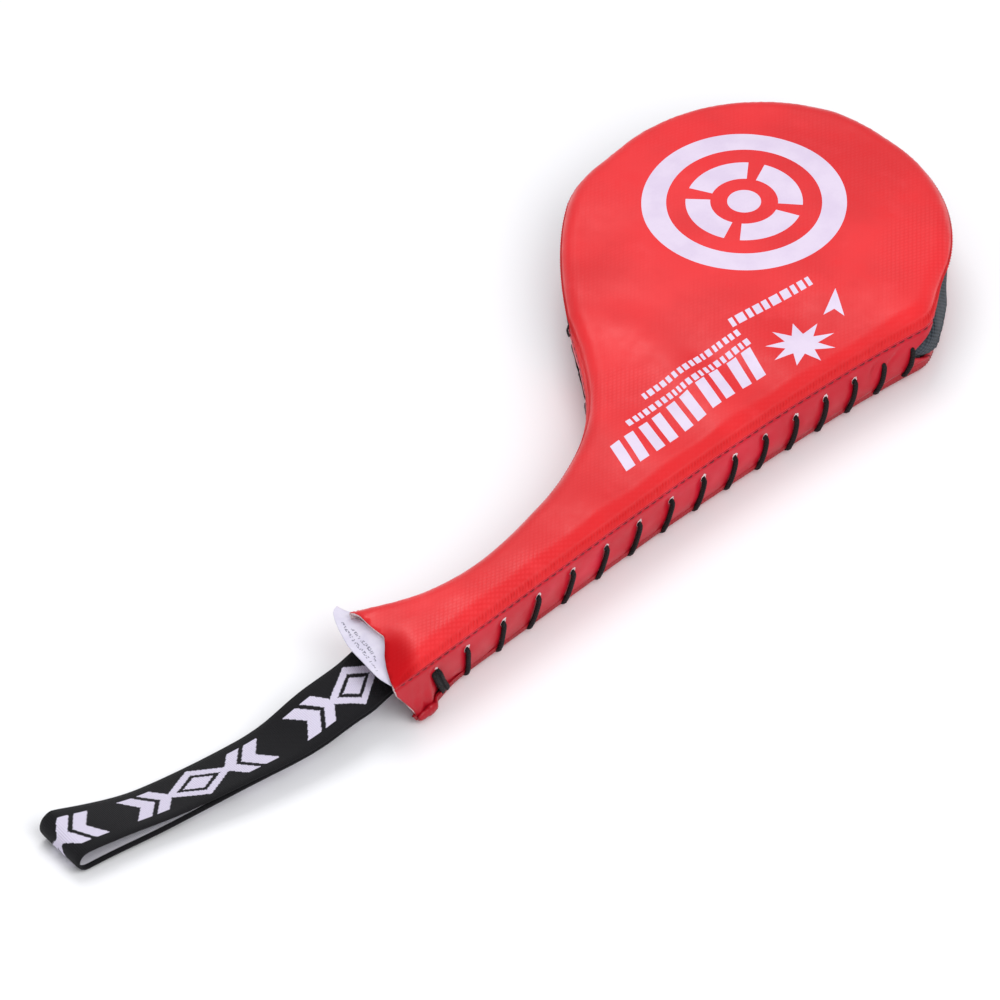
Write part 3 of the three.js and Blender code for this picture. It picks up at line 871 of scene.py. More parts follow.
def dashes(start, end, height, longest, seed):
    """A row of small slanted blocks of uneven lengths."""
    rng = np.random.default_rng(seed)
    start, end = np.array(start, float), np.array(end, float)
    reach = np.linalg.norm(end - start)
    turn = math.degrees(math.atan2(*(end - start)[::-1]))
    loops, at = [], 0.0
    while at < reach:
        length = rng.uniform(0.45, 1.0) * longest
        half, lean = length / 2, 0.12 * height
        block = [(-half - lean, -height / 2), (half - lean, -height / 2),
                 (half + lean, height / 2), (lean - half, height / 2)]
        loops.append(turned(block, start + (end - start) * (at + half) / reach, turn))
        at += length + rng.uniform(0.9, 1.3)
    return loops


SMALL_ROWS = dashes((30.8, -52), (16, -114), 3.2, 2.6, 51) + dashes((25, -50), (12.8, -98), 3.2, 2.6, 52)
MIDDLE_ROW = dashes((32.4, -10.5), (20.4, -46), 4.6, 4.2, 53)
FIGURES = bullseye() + stripes() + burst() + SMALL_ROWS + MIDDLE_ROW

FACE_SHOULDER = 8.5
FACE_CROWN = 1.3
CROWN_REACH = 22
FACE_PUFF = 0.8
FACE_WAVES = 0.2
SHOULDER_POWER = 2.5
END_REACH = 24.0


def face_height(xy):
    """Height of the striking face over a plan point."""
    edge = edge_distance(xy)
    share, out = mouth_coordinates(xy)
    rise = np.clip(1 - edge / FACE_SHOULDER, 0, 1)
    full = SHOULDER + FACE_PUFF * smoothstep(-out, 10, 60)
    height = full * (1 - rise**SHOULDER_POWER) ** (1 / SHOULDER_POWER)
    height += FACE_CROWN * (1 - np.exp(-np.clip(edge - FACE_SHOULDER, 0, None) / CROWN_REACH))
    height += smoothstep(edge, 0, 6) * FACE_WAVES * ripple(xy[:, 0], xy[:, 1], 60, 3)
    near = np.clip(1 + out / END_REACH, 0, 1) ** 2
    end = (np.interp(share, END_SHARES, END_HEIGHT) - SEAM) * smoothstep(edge, -1, 3)
    return SEAM + height + (np.minimum(end, height) - height) * near


def bulged(points):
    """The face's points with its padded edge pushed out past the seam."""
    edge, along = nearest(points[:, :2])
    share = np.clip((points[:, 2] - SEAM) / SHOULDER, 0, 1)
    out = overhang(along) * smoothstep(share, 0, 0.35) * np.exp(-((edge / 9) ** 2))
    points[:, :2] += place(along)[1] * out[:, None]
    points[:, 2] += seam_lift(along) * np.exp(-((edge / 9) ** 2))
    return points


SETTLE_FRAMES = 20
SETTLE_PRESSURE = 0.6
SETTLE_LIMIT = 0.8
EVENING_ROUNDS = 30


def evened(mesh, moved, held):
    """Movements of a mesh's points averaged with their neighbours', so that only broad ones are left."""
    links = np.zeros(2 * len(mesh.edges), np.int32)
    mesh.edges.foreach_get("vertices", links)
    a, b = links.reshape(-1, 2).T
    neighbours = np.maximum(np.bincount(links, minlength=len(moved)), 1)[:, None]
    for _ in range(EVENING_ROUNDS):
        total = np.zeros_like(moved)
        np.add.at(total, a, moved[b])
        np.add.at(total, b, moved[a])
        moved = (moved + total / neighbours) / 2
        moved[held] = 0
    return moved


def settle(piece, held):
    """Cloth simulation, applied: the pad presses the leather out while its seams hold it."""
    before = np.zeros(3 * len(piece.data.vertices), np.float32)
    piece.data.vertices.foreach_get("co", before)
    group = piece.vertex_groups.new(name="held")
    group.add([int(i) for i in np.where(held)[0]], 1.0, "REPLACE")
    cloth = piece.modifiers.new("settle", "CLOTH").settings
    cloth.quality = 5
    cloth.mass = 0.4
    cloth.tension_stiffness = 30
    cloth.compression_stiffness = 30
    cloth.shear_stiffness = 20
    cloth.bending_stiffness = 2
    cloth.shrink_min = -0.012
    cloth.vertex_group_mass = "held"
    cloth.use_pressure = True
    cloth.uniform_pressure_force = SETTLE_PRESSURE
    cloth.effector_weights.gravity = 0
    for step in range(1, SETTLE_FRAMES + 1):
        scene.frame_set(step)
    graph = bpy.context.evaluated_depsgraph_get()
    after = np.zeros_like(before)
    piece.evaluated_get(graph).data.vertices.foreach_get("co", after)
    piece.modifiers.clear()
    piece.vertex_groups.clear()
    scene.frame_set(1)
    moved = evened(piece.data, (after - before).reshape(-1, 3), held)
    far = np.linalg.norm(moved, axis=1)
    moved *= (SETTLE_LIMIT * MM * np.tanh(far / (SETTLE_LIMIT * MM)) / np.maximum(far, 1e-9))[:, None]
    piece.data.vertices.foreach_set("co", (before + moved.ravel()).astype(np.float32))
    piece.data.update()


def face_panel():
    """The striking face: a printed, padded sheet whose edge rolls over the seam and tucks under."""
    plan, faces, printed = panel_plan(FACE_SHOULDER, 1.0, FIGURES)
    points = bulged(np.column_stack([plan, face_height(plan)]))
    lift = seam_lift(RIM_STATIONS)
    turn_under = [(-0.25, SEAM - 0.05 + lift), (-0.2, SEAM - 0.45 + lift), (0.35, SEAM - 0.75 + lift)]
    points, faces = with_edge(points, faces, turn_under)
    kinds = [2 if inked else 0 for inked in printed] + [0] * (len(faces) - len(printed))
    piece = mesh_object("striking_face", points, faces, [FACE_RED, FRAY, INK], face_material=kinds)
    edge = edge_distance(points[:, :2])
    out = mouth_coordinates(points[:, :2])[1]
    settle(piece, (edge < 1.2) | (out > -7))
    thicken(piece, thickness=1.0, rim=1)
    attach(piece, "paddle")
    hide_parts("front_cover")


face_panel()

# ---- Side walls ----

TOPSTITCH_DROP = 1.9
# Creases that run along a laced wall: how far below the seam, how far out and half-width.
WALL_CREASES = [(TOPSTITCH_DROP, -0.45, 0.45), (0.9, 0.2, 0.5), (0, -0.5, 0.4)]
LACE_PULL = 0.55
WALL_WAVES = 0.22
# How much lower the right wall hangs at the mouth, and where that ends.
MOUTH_SAG = 2.6
MOUTH_SAG_END = (20, 27)
# The gap between the seam line and a wall's top row.
WALL_GAP = 0.15
WALL_DROPS = [0.0, 0.3, 0.7, 1.1, 1.4, 1.6, 1.9, 2.2, 2.5, 2.9, 3.4, 4.2, 5.2, 6.2, 7.4, 8.6, 9.8, 11.0,
              12.2, 13.4, 14.6, 15.8, 17.0, 18.0, 18.8, 19.5]


def lip_height(s):
    rise = smoothstep(s, RIGHT_END - 60, RIGHT_END + LIP_RAMP)
    fall = smoothstep(s, LEFT_START - LIP_RAMP, LEFT_START)
    return LIP + (TIP_LIP - LIP) * (rise - fall)


def wall_out(s, z, stitches, lean):
    """How far the laced wall stands out from the seam line."""
    s, z = np.broadcast_arrays(np.asarray(s, float), np.asarray(z, float))
    share = np.clip((z - LIP) / (SEAM - LIP), 0, 1)
    out = BULGE * np.sin(math.pi * share)
    drop = SEAM - z
    for down, height, width in WALL_CREASES:
        out = out + height * bump(drop, down, width)
    pull = np.zeros(s.shape)
    for stitch in stitches:
        pull = pull + bump(s, stitch, 3.2) * bump(z, LACE_HOLE, 4.0)
        pull = pull + bump(s, stitch - lean, 3.4) * bump(z, 3.0, 3.0)
    out = out - LACE_PULL * pull
    out = out + WALL_WAVES * ripple(s, 2.2 * z, 34, 11) * smoothstep(share, 0, 0.2) * smoothstep(drop, 3, 8)
    return out


def wall_surface(s, z, out):
    point, normal = place(s)
    return np.column_stack([point + normal * (np.asarray(out) - tuck(s, z))[:, None], z])


def laced_wall(name, node, s_from, s_to, stitches, lean, flare):
    """A red side wall from the seam down to the back's lip, drawn in at its stitches."""
    stations = np.arange(s_from, s_to + 0.5, 1.1)
    low = lip_height(stations) + 0.1
    if s_from == 0:
        low = low - MOUTH_SAG * (1 - smoothstep(stations, *MOUTH_SAG_END))
    points, uv = [], []
    for drop in WALL_DROPS:
        z = np.maximum(SEAM - WALL_GAP - drop * (SEAM - WALL_GAP - low) / WALL_DROPS[-1], low)
        s, z, out = flare(stations, z, wall_out(stations, z, stitches, lean))
        points.append(wall_surface(s, z, out))
        uv.append(np.column_stack([s, z]))
    piece = mesh_object(name, np.vstack(points), grid_faces(len(WALL_DROPS), len(stations), flip=True),
                        [SIDE_RED, FRAY], uv=np.vstack(uv))
    thicken(piece, thickness=0.9, rim=1)
    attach(piece, "paddle")
    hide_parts(node)


def mouth_start(z):
    """The mouth's slanted edge: lower points start further in."""
    return MOUTH_SETBACK * (SEAM - z) / SEAM


# The right wall's end at the mouth, by height: how far in it starts, and how far its hem flares out.
HEM_HEIGHTS = [2, 5, 8, 12, 20, 25]
HEM_START = [11.3, 10.3, 9.0, 6.5, 1.1, 0.0]
HEM_FLARE = [4.2, 3.9, 3.0, 1.5, 0.3, 0.0]
HEM_REACH = (19.0, 26.0)
# The rolled hem: where it starts and ends along the seam, and its half-sizes outwards and upwards.
HEM_ROLL_FROM = 10.6
HEM_ROLL_TO = 23.4
HEM_ROLL_OUT = 1.5
HEM_ROLL_UP = 2.3


def hem_flare(s, z):
    return np.interp(z, HEM_HEIGHTS, HEM_FLARE) * (1 - smoothstep(s, *HEM_REACH))


# The right wall's other end, at the tip: it is cut back to the last lace in the middle of its height.
WALL_END = RIGHT_END + 3
NOTCH_HEIGHTS = [8, 10, 12.5, 16, 25]
NOTCH_DEPTHS = [8.0, 13.0, 17.5, 17.5, 0.0]


def end_notch(z):
    return np.interp(z, NOTCH_HEIGHTS, NOTCH_DEPTHS)


def right_flare(s, z, out):
    """Slants the right wall's end at the mouth, flares its hem there and notches its other end."""
    s = s + np.interp(z, HEM_HEIGHTS, HEM_START) * (1 - smoothstep(s, 0, 30))
    flare = hem_flare(s, z)
    out = out + flare + 0.11 * flare * np.sin(s * 1.1)
    end = smoothstep(s, RIGHT_END - 48, WALL_END)
    return s - end * end_notch(z), z, out


def left_flare(s, z, out):
    """Lifts the left wall with the seam and slants its end at the mouth."""
    z = z + seam_lift(s) * np.clip((z - 12) / 13, 0, 1)
    begin = mouth_start(z) * 0.9
    share = smoothstep(s, LENGTH - 40, LENGTH)
    return s - begin * share, z, out


laced_wall("right_side_wall", "right_gusset", 0.0, WALL_END, RIGHT_STITCHES, LACE_LEAN, right_flare)
laced_wall("left_side_wall", "left_gusset", LEFT_START, LENGTH, LEFT_STITCHES, -LACE_LEAN, left_flare)


def mouth_hem():
    """The turned-up hem hanging at the right corner of the mouth: a flattened, creased roll."""
    stations = np.linspace(HEM_ROLL_FROM, HEM_ROLL_TO, 40)
    sides = 18
    points, uv = [], []
    for s in stations:
        taper = math.sin(math.pi * np.clip((s - 9.4) / 15.4, 0, 1)) ** 0.5
        base = 0.6 + float(hem_flare(s, 2.6))
        for k in range(sides):
            angle = math.tau * k / sides
            crease = 1 + 0.07 * math.sin(1.3 * s + 2 * angle) + 0.04 * math.sin(2.9 * s + angle)
            out = base + taper * crease * HEM_ROLL_OUT * math.cos(angle)
            middle = 3.6 + 0.6 * (s - HEM_ROLL_FROM) / 13.8
            z = middle + taper * crease * HEM_ROLL_UP * math.sin(angle)
            points.append(wall_surface(s, np.array([max(z, 0.4)]), np.array([out]))[0])
            uv.append((s, angle))
    piece = mesh_object("mouth_hem", points, capped_faces(len(stations), sides), [SIDE_RED], uv=uv)
    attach(piece, "paddle")


mouth_hem()

TIP_BULGE_PLACES = [RIGHT_END + 20, RIGHT_END + 34, RIGHT_END + 70, RIGHT_END + 110]
TIP_BULGES = [1.7, 0.7, 0.7, 1.7]
TIP_UNDER = 2.3
TIP_SINK = 0.5
TIP_WAVES = 0.35


def tip_wall():
    """The charcoal fabric round the tip, tucked behind the red walls' ends and gathered low down."""
    stations = np.arange(RIGHT_END - 30, LEFT_START + 4, 0.9)
    shares = np.linspace(0, 1, 22)
    points, uv = [], []
    for share in shares:
        low = lip_height(stations) - 0.6
        z = low + (SEAM - 0.2 - low) * (1 - share)
        near = bump(stations, RIGHT_END + 2, 16) + bump(stations, LEFT_START - 4, 16)
        wall_end = WALL_END - end_notch(z)
        covered = 1 - smoothstep(stations, wall_end - 1, wall_end + 6)
        covered = covered + smoothstep(stations, LEFT_START - 5, LEFT_START)
        bulge = np.interp(stations, TIP_BULGE_PLACES, TIP_BULGES)
        out = bulge * np.sin(math.pi * (1 - share) ** 0.9) - TIP_UNDER * covered - TIP_SINK
        gathers = np.sin(stations * 2.1 + 1.2 * share) * smoothstep(share, 0.55, 1.0)
        out = out + (0.18 + 0.5 * near) * gathers + TIP_WAVES * ripple(stations, 30 * share, 26, 21)
        points.append(wall_surface(stations, z, out))
        uv.append(np.column_stack([stations, z]))
    faces = grid_faces(len(shares), len(stations), flip=True)
    piece = mesh_object("tip_fabric_wall", np.vstack(points), faces, [WEAVE], uv=np.vstack(uv))
    thicken(piece, thickness=0.8)
    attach(piece, "paddle")
    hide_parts("tip_gusset")


tip_wall()

BACK_TUCK = 0.4
BACK_SETBACK = 12.0


def tucked(points):
    """Points of the back with its edge drawn in under the seam."""
    edge, along = nearest(points[:, :2])
    inward = np.maximum(tuck(along, points[:, 2]), BACK_TUCK) * np.exp(-edge / 14)
    points[:, :2] -= place(along)[1] * inward[:, None]
    return points


def back_panel():
    """The back cover: a flat panel that turns up round its edge into a lip."""
    plan, faces, _ = panel_plan(BACK_RADIUS, 0.0)
    edge = edge_distance(plan)
    rise = np.clip(1 - edge / BACK_RADIUS, 0, 1)
    heights = BACK_RADIUS * (1 - np.sqrt(1 - rise**2))
    heights += 0.12 * (1 + ripple(plan[:, 0], plan[:, 1], 50, 8)) * smoothstep(edge, 6, 20)
    points = np.column_stack([plan, heights])
    rise = lip_height(RIM_STATIONS) + 0.3 - BACK_RADIUS
    lip = [(-0.1, BACK_RADIUS + rise * 0.5), (0.1, BACK_RADIUS + rise)]
    points, faces = with_edge(points, [face[::-1] for face in faces], lip, flip=True)
    # The open end slants back under the handle.
    near = smoothstep(mouth_coordinates(points[:, :2])[1], -40, 0)
    points = tucked(points)
    points[:, :2] -= np.outer(near * BACK_SETBACK * (SEAM - points[:, 2]) / SEAM, MOUTH_OUT)
    piece = mesh_object("back_panel", points, faces, [BACK_RED])
    thicken(piece, thickness=1.0)
    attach(piece, "paddle")
    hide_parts("back_cover")


back_panel()

# ---- Lacing ----

# One stitch, by share of its lean: distance out from the seam line, and height.
STITCH_ROUTE = [
    (0, -3.1, 15.8), (0, -1.3, 17.5), (0, 1.6, 17.6), (0.1, 2.4, 15.8), (0.4, 2.5, 11.4),
    (0.75, 2.0, 7.4), (0.95, 1.3, 4.9), (1, -0.3, 2.9), (1, -3.4, 3.3),
]
LACE_CHANNEL = -3.1
LACE_CHANNEL_HEIGHT = 9.85
LACE_WIDTH = 2.0
# How far a stitch lies sunk into the wall: a doubled lace less than a plain one.
DOUBLED_SINK = 0.45
PLAIN_SINK = 1.5
# The two extra wraps at a doubled lace's first stitch: shift along the seam, and thickness.
EXTRA_WRAPS = [(-1.5, 1.1), (1.2, 1.0)]
FIRST_LEANS = [-6.2, -1.6, 0.6]


def surface_point(s, out, z):
    point, normal = place(s)
    return np.array([*(point[0] + normal[0] * (out - float(tuck(s, z)))), z])


def lacing(name, node, stitches, lean, doubled):
    """One cord through all the holes of a wall. A doubled lace has extra wraps at its first stitch."""
    route = []
    leans = [lean] * len(stitches)
    sunk = DOUBLED_SINK if doubled else PLAIN_SINK
    if doubled:
        leans[:len(FIRST_LEANS)] = FIRST_LEANS
    for k, s in enumerate(stitches):
        raised = float(lip_height(s)) - LIP
        for share, out, height in STITCH_ROUTE:
            z = height + raised * np.clip((12 - height) / 8, 0, 1)
            route.append(surface_point(s - share * leans[k], out - (sunk if out > 0.5 else 0), z))
        if k < len(stitches) - 1:
            middle = (s - lean + stitches[k + 1]) / 2
            route.append(surface_point(middle, LACE_CHANNEL, LACE_CHANNEL_HEIGHT))
    path = smooth_path(route, 1.0)
    parts = [tube(path, radius=LACE_WIDTH / 2, sides=10)]
    if doubled:
        for shift, swell in EXTRA_WRAPS:
            extra = [surface_point(stitches[0] + shift - share * leans[0], out + 0.1, height)
                     for share, out, height in STITCH_ROUTE]
            parts.append(tube(smooth_path(extra, 1.0), radius=LACE_WIDTH / 2 * swell, sides=10))
    points, faces, uv = join(parts)
    piece = mesh_object(name, points, faces, [CORD], uv=uv)
    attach(piece, "paddle")
    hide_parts(node)


lacing("right_lacing", "right_lace", RIGHT_STITCHES, LACE_LEAN, True)
lacing("left_lacing", "left_lace", LEFT_STITCHES, -LACE_LEAN, False)


HOLE_RADIUS = 1.1
HOLE_HEIGHT = LACE_HOLE + 0.6


def hole_edges(name, stitches, lean, seed):
    """Each lace hole's dark mouth and its torn, pale edge."""
    rng = np.random.default_rng(seed)
    points, faces, kinds = [], [], []
    turns = 22
    for s in stitches:
        start = len(points)
        fray = rng.uniform(0.5, 1.5)
        torn = math.radians(rng.uniform(35, 75))
        for k in range(turns):
            angle = math.tau * k / turns
            upper = max(0.0, math.cos(angle - torn)) ** 2
            inner = HOLE_RADIUS + rng.uniform(-0.1, 0.1)
            outer = inner + 0.12 + fray * upper * rng.uniform(0.3, 1.0)
            crest = ((inner + outer) / 2, 0.1 + 0.25 * upper)
            for radius, lift in ((0.0, 0.04), (inner, 0.06), crest, (outer, 0.05)):
                ds, dz = radius * math.cos(angle), radius * 1.15 * math.sin(angle)
                z = HOLE_HEIGHT + dz
                out = float(wall_out(s + ds, z, stitches, lean)) + lift
                points.append(surface_point(s + ds, out, z))
        for k in range(turns):
            a, b = start + 4 * k, start + 4 * ((k + 1) % turns)
            for ring in range(3):
                faces.append((a + ring, a + ring + 1, b + ring + 1, b + ring))
                kinds.append(0 if ring == 0 else 1)
    piece = mesh_object(name, points, faces, [HOLE, FRAY], face_material=kinds)
    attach(piece, "paddle")


hole_edges("right_lace_holes", RIGHT_STITCHES, LACE_LEAN, 5)
hole_edges("left_lace_holes", LEFT_STITCHES, -LACE_LEAN, 6)


TOPSTITCH_PITCH = 4.0
TOPSTITCH_LENGTH = 2.7
TOPSTITCH_ARCH = 0.55
TOPSTITCH_SINK = 0.18
TOPSTITCH_DRIFT = 0.12


def topstitching(name, s_from, s_to, stitches, lean, seed):
    """A dashed run of thread along a wall, below the seam."""
    rng = np.random.default_rng(seed)
    parts = []
    z = SEAM - TOPSTITCH_DROP
    for s in np.arange(s_from, s_to, TOPSTITCH_PITCH):
        drift = rng.uniform(-TOPSTITCH_DRIFT, TOPSTITCH_DRIFT)
        path = []
        for share in np.linspace(0, 1, 7):
            at = s + TOPSTITCH_LENGTH * share
            arch = TOPSTITCH_ARCH * math.sin(math.pi * share)
            out = float(wall_out(at, z, stitches, lean)) + arch - TOPSTITCH_SINK
            path.append(surface_point(at, out, z + drift))
        parts.append(tube(path, radius=0.26, sides=6))
    points, faces, uv = join(parts)
    piece = mesh_object(name, points, faces, [RED_THREAD], uv=uv)
    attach(piece, "paddle")


topstitching("right_topstitch", 4, RIGHT_END - 6, RIGHT_STITCHES, LACE_LEAN, 31)
topstitching("left_topstitch", LEFT_START + 3, LENGTH - 6, LEFT_STITCHES, -LACE_LEAN, 32)


# The thread's end: distance on from the left wall's start, distance out and height.
THREAD_ROUTE = [(0.5, -0.4, 24.6), (0.2, 0.3, 24.3), (1.2, 0.8, 23.6), (0.4, 1.0, 22.6), (1.6, 1.1, 21.7),
                (2.6, 0.9, 20.6)]


def thread_end():
    """The knotted end of the left seam's thread, where the side leather starts."""
    path = [surface_point(LEFT_START + ds, out, z) for ds, out, z in THREAD_ROUTE]
    points, faces, uv = tube(smooth_path(path, step=0.4), radius=0.45, sides=8)
    piece = mesh_object("left_thread_end", points, faces, [DARK_THREAD], uv=uv)
    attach(piece, "paddle")


thread_end()

# ---- Wrist strap ----

STRAP_LINE = np.vstack([bezier(STRAP_CENTRE, 200), [STRAP_CENTRE[3]]])
STRAP_AT = cumulative(STRAP_LINE)
STRAP_LENGTH = STRAP_AT[-1]
TAIL = 18.0
FOLD_RADIUS = 3.8
# The webbing's woven edge: how far out it reaches in half-widths, and how much thinner it is beside it.
SELVAGE_REACH = 1.02
SELVAGE_THIN = 0.72


def strap_point(distance):
    """The plan point at a distance along the strap's centre line."""
    return np.array([np.interp(distance, STRAP_AT, STRAP_LINE[:, k]) for k in (0, 1)])


def strap_span(share):
    """The strap's centre, half-width vector and direction. It is as wide as the mouth's slant makes it at
    its root, and square across further out."""
    here = strap_point(share * STRAP_LENGTH)
    step = 1.0
    ahead = strap_point(min(share * STRAP_LENGTH + step, STRAP_LENGTH))
    behind = strap_point(max(share * STRAP_LENGTH - step, 0))
    tangent = (ahead - behind) / np.linalg.norm(ahead - behind)
    across = np.array([-tangent[1], tangent[0]])
    if across @ MOUTH_ALONG < 0:
        across = -across
    root = STRAP_WIDTH / 2 / abs(across @ MOUTH_ALONG)
    square = float(smoothstep(share, 0, 0.22))
    return here, MOUTH_ALONG * root * (1 - square) + across * STRAP_WIDTH / 2 * square, tangent


# The webbing's hang, by share of the way to its fold: height of the two plies' middles, and how much
# higher each one's right edge is than its left.
HANG_SHARES = [0.0, 0.12, 0.19, 0.26, 0.33, 0.45, 0.57, 0.70, 0.76, 0.90, 1.0]
UPPER_HEIGHTS = [14.0, 15.4, 14.0, 11.2, 9.6, 8.3, 6.7, 5.6, 6.1, 8.9, 12.0]
LOWER_HEIGHTS = [12.4, 13.8, 12.4, 9.6, 8.0, 6.5, 4.4, 2.5, 2.0, 1.6, 1.2]
UPPER_TILTS = [0.0, -1.6, -2.0, 0.8, 4.0, 5.2, 5.6, 5.7, 6.0, 1.6, -3.4]
LOWER_TILTS = [0.0, -1.6, -2.0, 0.8, 4.0, 5.0, 4.4, 3.0, 1.9, 1.0, 0.6]


def eased(share, values):
    """The value at a share, averaged over its neighbourhood so that the webbing has no kinks."""
    near = np.clip(share + np.linspace(-0.06, 0.06, 13), 0, 1)
    return float(np.interp(near, HANG_SHARES, values).mean())


def strap_hang(share):
    """Heights of the upper and lower plies' middles, and the rise to each one's right edge."""
    upper, lower = eased(share, UPPER_HEIGHTS), eased(share, LOWER_HEIGHTS)
    return upper, lower, eased(share, UPPER_TILTS) / 2, eased(share, LOWER_TILTS) / 2


def strap_route():
    """The webbing's centre line, half-width vectors and outward direction: out on top, back below."""
    fold = 1 - FOLD_RADIUS / STRAP_LENGTH
    shares = np.linspace(0, fold, 90)
    tail = np.linspace(TAIL, 0, 10, endpoint=False)
    stops = []

    def add(share, back, below):
        here, span, tangent = strap_span(share)
        height, rise = strap_hang(share)[below], strap_hang(share)[2 + below]
        point = np.array([*(here - tangent * back), height])
        stops.append((point, np.array([*span, rise]), np.array([0, 0, -1.0 if below else 1.0])))

    for back in tail:
        add(0, back, False)
    for share in shares:
        add(share, 0, False)
    here, span, tangent = strap_span(fold)
    upper, lower, rise_upper, rise_lower = strap_hang(fold)
    middle, radius = (upper + lower) / 2, (upper - lower) / 2
    for angle in np.radians(np.arange(12, 180, 12)):
        point = np.array([*(here + tangent * radius * math.sin(angle)), middle + radius * math.cos(angle)])
        turned_by = (1 - math.cos(angle)) / 2
        rise = rise_upper + (rise_lower - rise_upper) * turned_by
        outward = np.array([*(tangent * math.sin(angle)), math.cos(angle)])
        stops.append((point, np.array([*span, rise]), outward))
    for share in shares[::-1]:
        add(share, 0, True)
    for back in tail[::-1]:
        add(0, back, True)
    return stops


def wrist_loop():
    stops = strap_route()
    at = cumulative(np.array([p for p, _, _ in stops]))
    sides = np.linspace(-1, 1, 13)
    half = STRAP_PLY / 2
    top = [(side, half) for side in sides]
    below = [(side, -half) for side in sides[::-1]]
    ring = top + [(SELVAGE_REACH, 0.0)] + below + [(-SELVAGE_REACH, 0.0)]
    points, uv = [], []
    for (point, span, up), length in zip(stops, at):
        outward = up - span * (up @ span) / (span @ span)
        outward /= np.linalg.norm(outward)
        for side, level in ring:
            thin = SELVAGE_THIN if abs(side) > 0.99 else 1.0
            points.append(point + span * side + outward * level * thin)
            uv.append((side * STRAP_WIDTH / 2, length))
    # Each row of quads: the outer face and one edge, the inner face, the other edge. Then the two end caps.
    row_kinds = [0] * (len(sides) + 1) + [1] * (len(sides) - 1) + [0, 0]
    kinds = row_kinds * (len(stops) - 1) + [0, 0]
    piece = mesh_object("wrist_loop", points, capped_faces(len(stops), len(ring)), [STRAP_OUTER, STRAP_INNER],
                        uv=uv, face_material=kinds)
    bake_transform(piece)
    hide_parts("wrist_strap", "strap_anchor")


wrist_loop()

# ---- Care label ----

# The label's outer and inner edges, as distances along the mouth and out from it.
LABEL_OUTER = [(-29.8, 1.9), (-27.4, 4.3), (-22.5, 5.6), (-15.5, 6.4), (-6.2, 6.5), (2.8, 5.0), (12.2, 3.3),
               (16.5, 1.7), (19.6, 0.1)]
LABEL_INNER = [(-24.4, -2.0), (-22.4, -1.9), (-14.8, -3.1), (-9.5, -4.2), (-4.5, -5.4), (-0.1, -6.3),
               (3.9, -5.3), (10, -3.2), (18.6, -1.5)]
LABEL_ROWS = 30
LABEL_COLUMNS = 110
LABEL_HEIGHT = 24.2
LABEL_SAG = 0.5
# The rows of marks: first mesh row, first and last column.
LABEL_MARKS = [(14, 30, 78), (20, 20, 88)]


def resampled(points, count):
    path = smooth_path([(a, b, 0) for a, b in points], 0.5)[:, :2]
    at = cumulative(path)
    steps = np.linspace(0, at[-1], count)
    return np.stack([np.interp(steps, at, path[:, k]) for k in (0, 1)], -1)


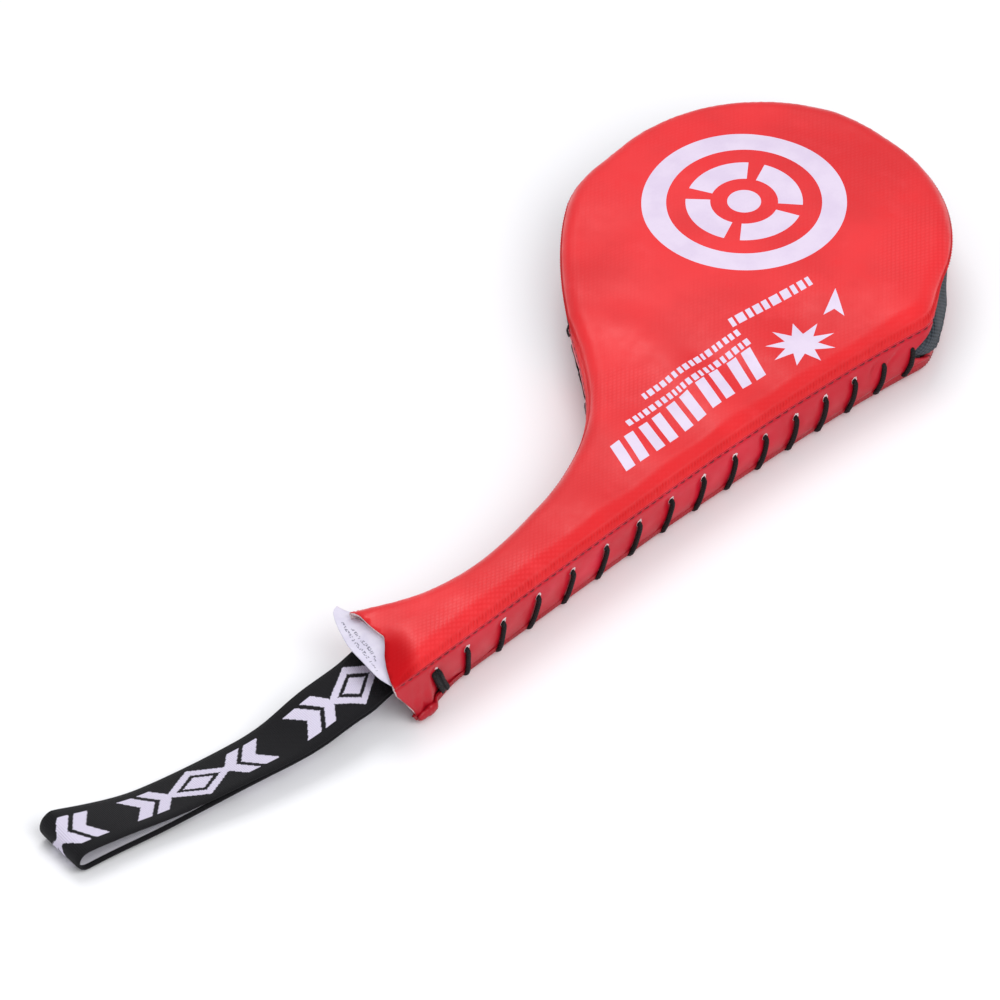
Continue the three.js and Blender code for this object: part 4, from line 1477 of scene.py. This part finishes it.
def care_label():
    """A satin leaf sewn in under the face's edge, with two rows of tiny generic marks."""
    outer, inner = resampled(LABEL_OUTER, LABEL_COLUMNS), resampled(LABEL_INNER, LABEL_COLUMNS)
    top = np.interp(inner[:, 0] / MOUTH_WIDTH + 0.5, END_SHARES, END_HEIGHT) - 1.3
    root = LABEL_HEIGHT + np.clip(top - LABEL_HEIGHT, 0, None)
    points, uv = [], []
    for share in np.linspace(0, 1, LABEL_ROWS):
        line = inner + (outer - inner) * share
        sag = LABEL_SAG * math.sin(math.pi * share)
        height = root + (LABEL_HEIGHT - root) * share**0.8 - sag
        flat = mouth_point(0.0, 0.0, 0.0) + line[:, :1] * [*MOUTH_ALONG, 0] + line[:, 1:] * [*MOUTH_OUT, 0]
        points.append(flat + np.outer(height, (0, 0, 1)))
        uv.append(line)
    rng = np.random.default_rng(41)
    kinds = np.zeros((LABEL_ROWS - 1, LABEL_COLUMNS - 1), int)
    for low, first, last in LABEL_MARKS:
        marks = rng.random((3, last - first)) < 0.55
        marks[:, rng.random(last - first) < 0.25] = False
        kinds[low:low + 3, first:last] = marks
    piece = mesh_object("satin_label", np.vstack(points), grid_faces(LABEL_ROWS, LABEL_COLUMNS),
                        [SATIN, LABEL_INK], uv=np.vstack(uv), face_material=kinds.ravel())
    thicken(piece, thickness=0.35)
    bend_from, bend_to, height = LABEL_BEND
    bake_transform(piece)
    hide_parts("care_label")


care_label()

# ---- The inner parts keep their CAD shapes ----


def dress(node, material):
    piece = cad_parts[node]
    piece.data.materials.clear()
    piece.data.materials.append(material)


HEAD_FOAM = foam("head_foam", srgb(112, 114, 118), srgb(150, 152, 156))
GRIP_FOAM = foam("grip_foam", srgb(70, 73, 78), srgb(104, 108, 112))
for part in ("front_head_foam", "back_head_foam"):
    dress(part, HEAD_FOAM)
for part in ("front_grip_foam", "back_grip_foam"):
    dress(part, GRIP_FOAM)
dress("core_board", board())
dress("grip_batten", batten_wood())

# ---- Floor and light ----


def floor():
    n = Nodes("studio_floor")
    tint = n.mix(n.noise(n.where(), 300, 2), srgb(252, 252, 253), srgb(248, 248, 250))
    paper = n.finish(tint, 0.6)
    side, height = 4000, -0.4
    corners = [(-side, -side, height), (side, -side, height), (side, side, height), (-side, side, height)]
    piece = mesh_object("studio_floor", corners, [(0, 1, 2, 3)], [paper])


LIGHT_TARGET = Vector((0, -150, 0)) * MM


def area_light(name, position, size, power):
    """A round lamp turned to the paddle. Its place and size are in metres."""
    data = bpy.data.lights.new(name, "AREA")
    data.shape = "DISK"
    data.size = size
    data.energy = power
    light = bpy.data.objects.new(name, data)
    light.location = position
    aim = LIGHT_TARGET - Vector(position)
    light.rotation_mode = "QUATERNION"
    light.rotation_quaternion = aim.to_track_quat("-Z", "Y")
    scene.collection.objects.link(light)


def studio():
    world = bpy.data.worlds.new("studio")
    world.use_nodes = True
    background = world.node_tree.nodes["Background"]
    background.inputs["Color"].default_value = (0.96, 0.97, 1.0, 1)
    background.inputs["Strength"].default_value = 0.66
    scene.world = world
    area_light("key", (-0.7, 0.5, 1.8), 1.2, 11)
    area_light("fill", (1.0, -0.7, 1.2), 1.2, 13)
    scene.view_settings.view_transform = "Standard"


floor()
studio()
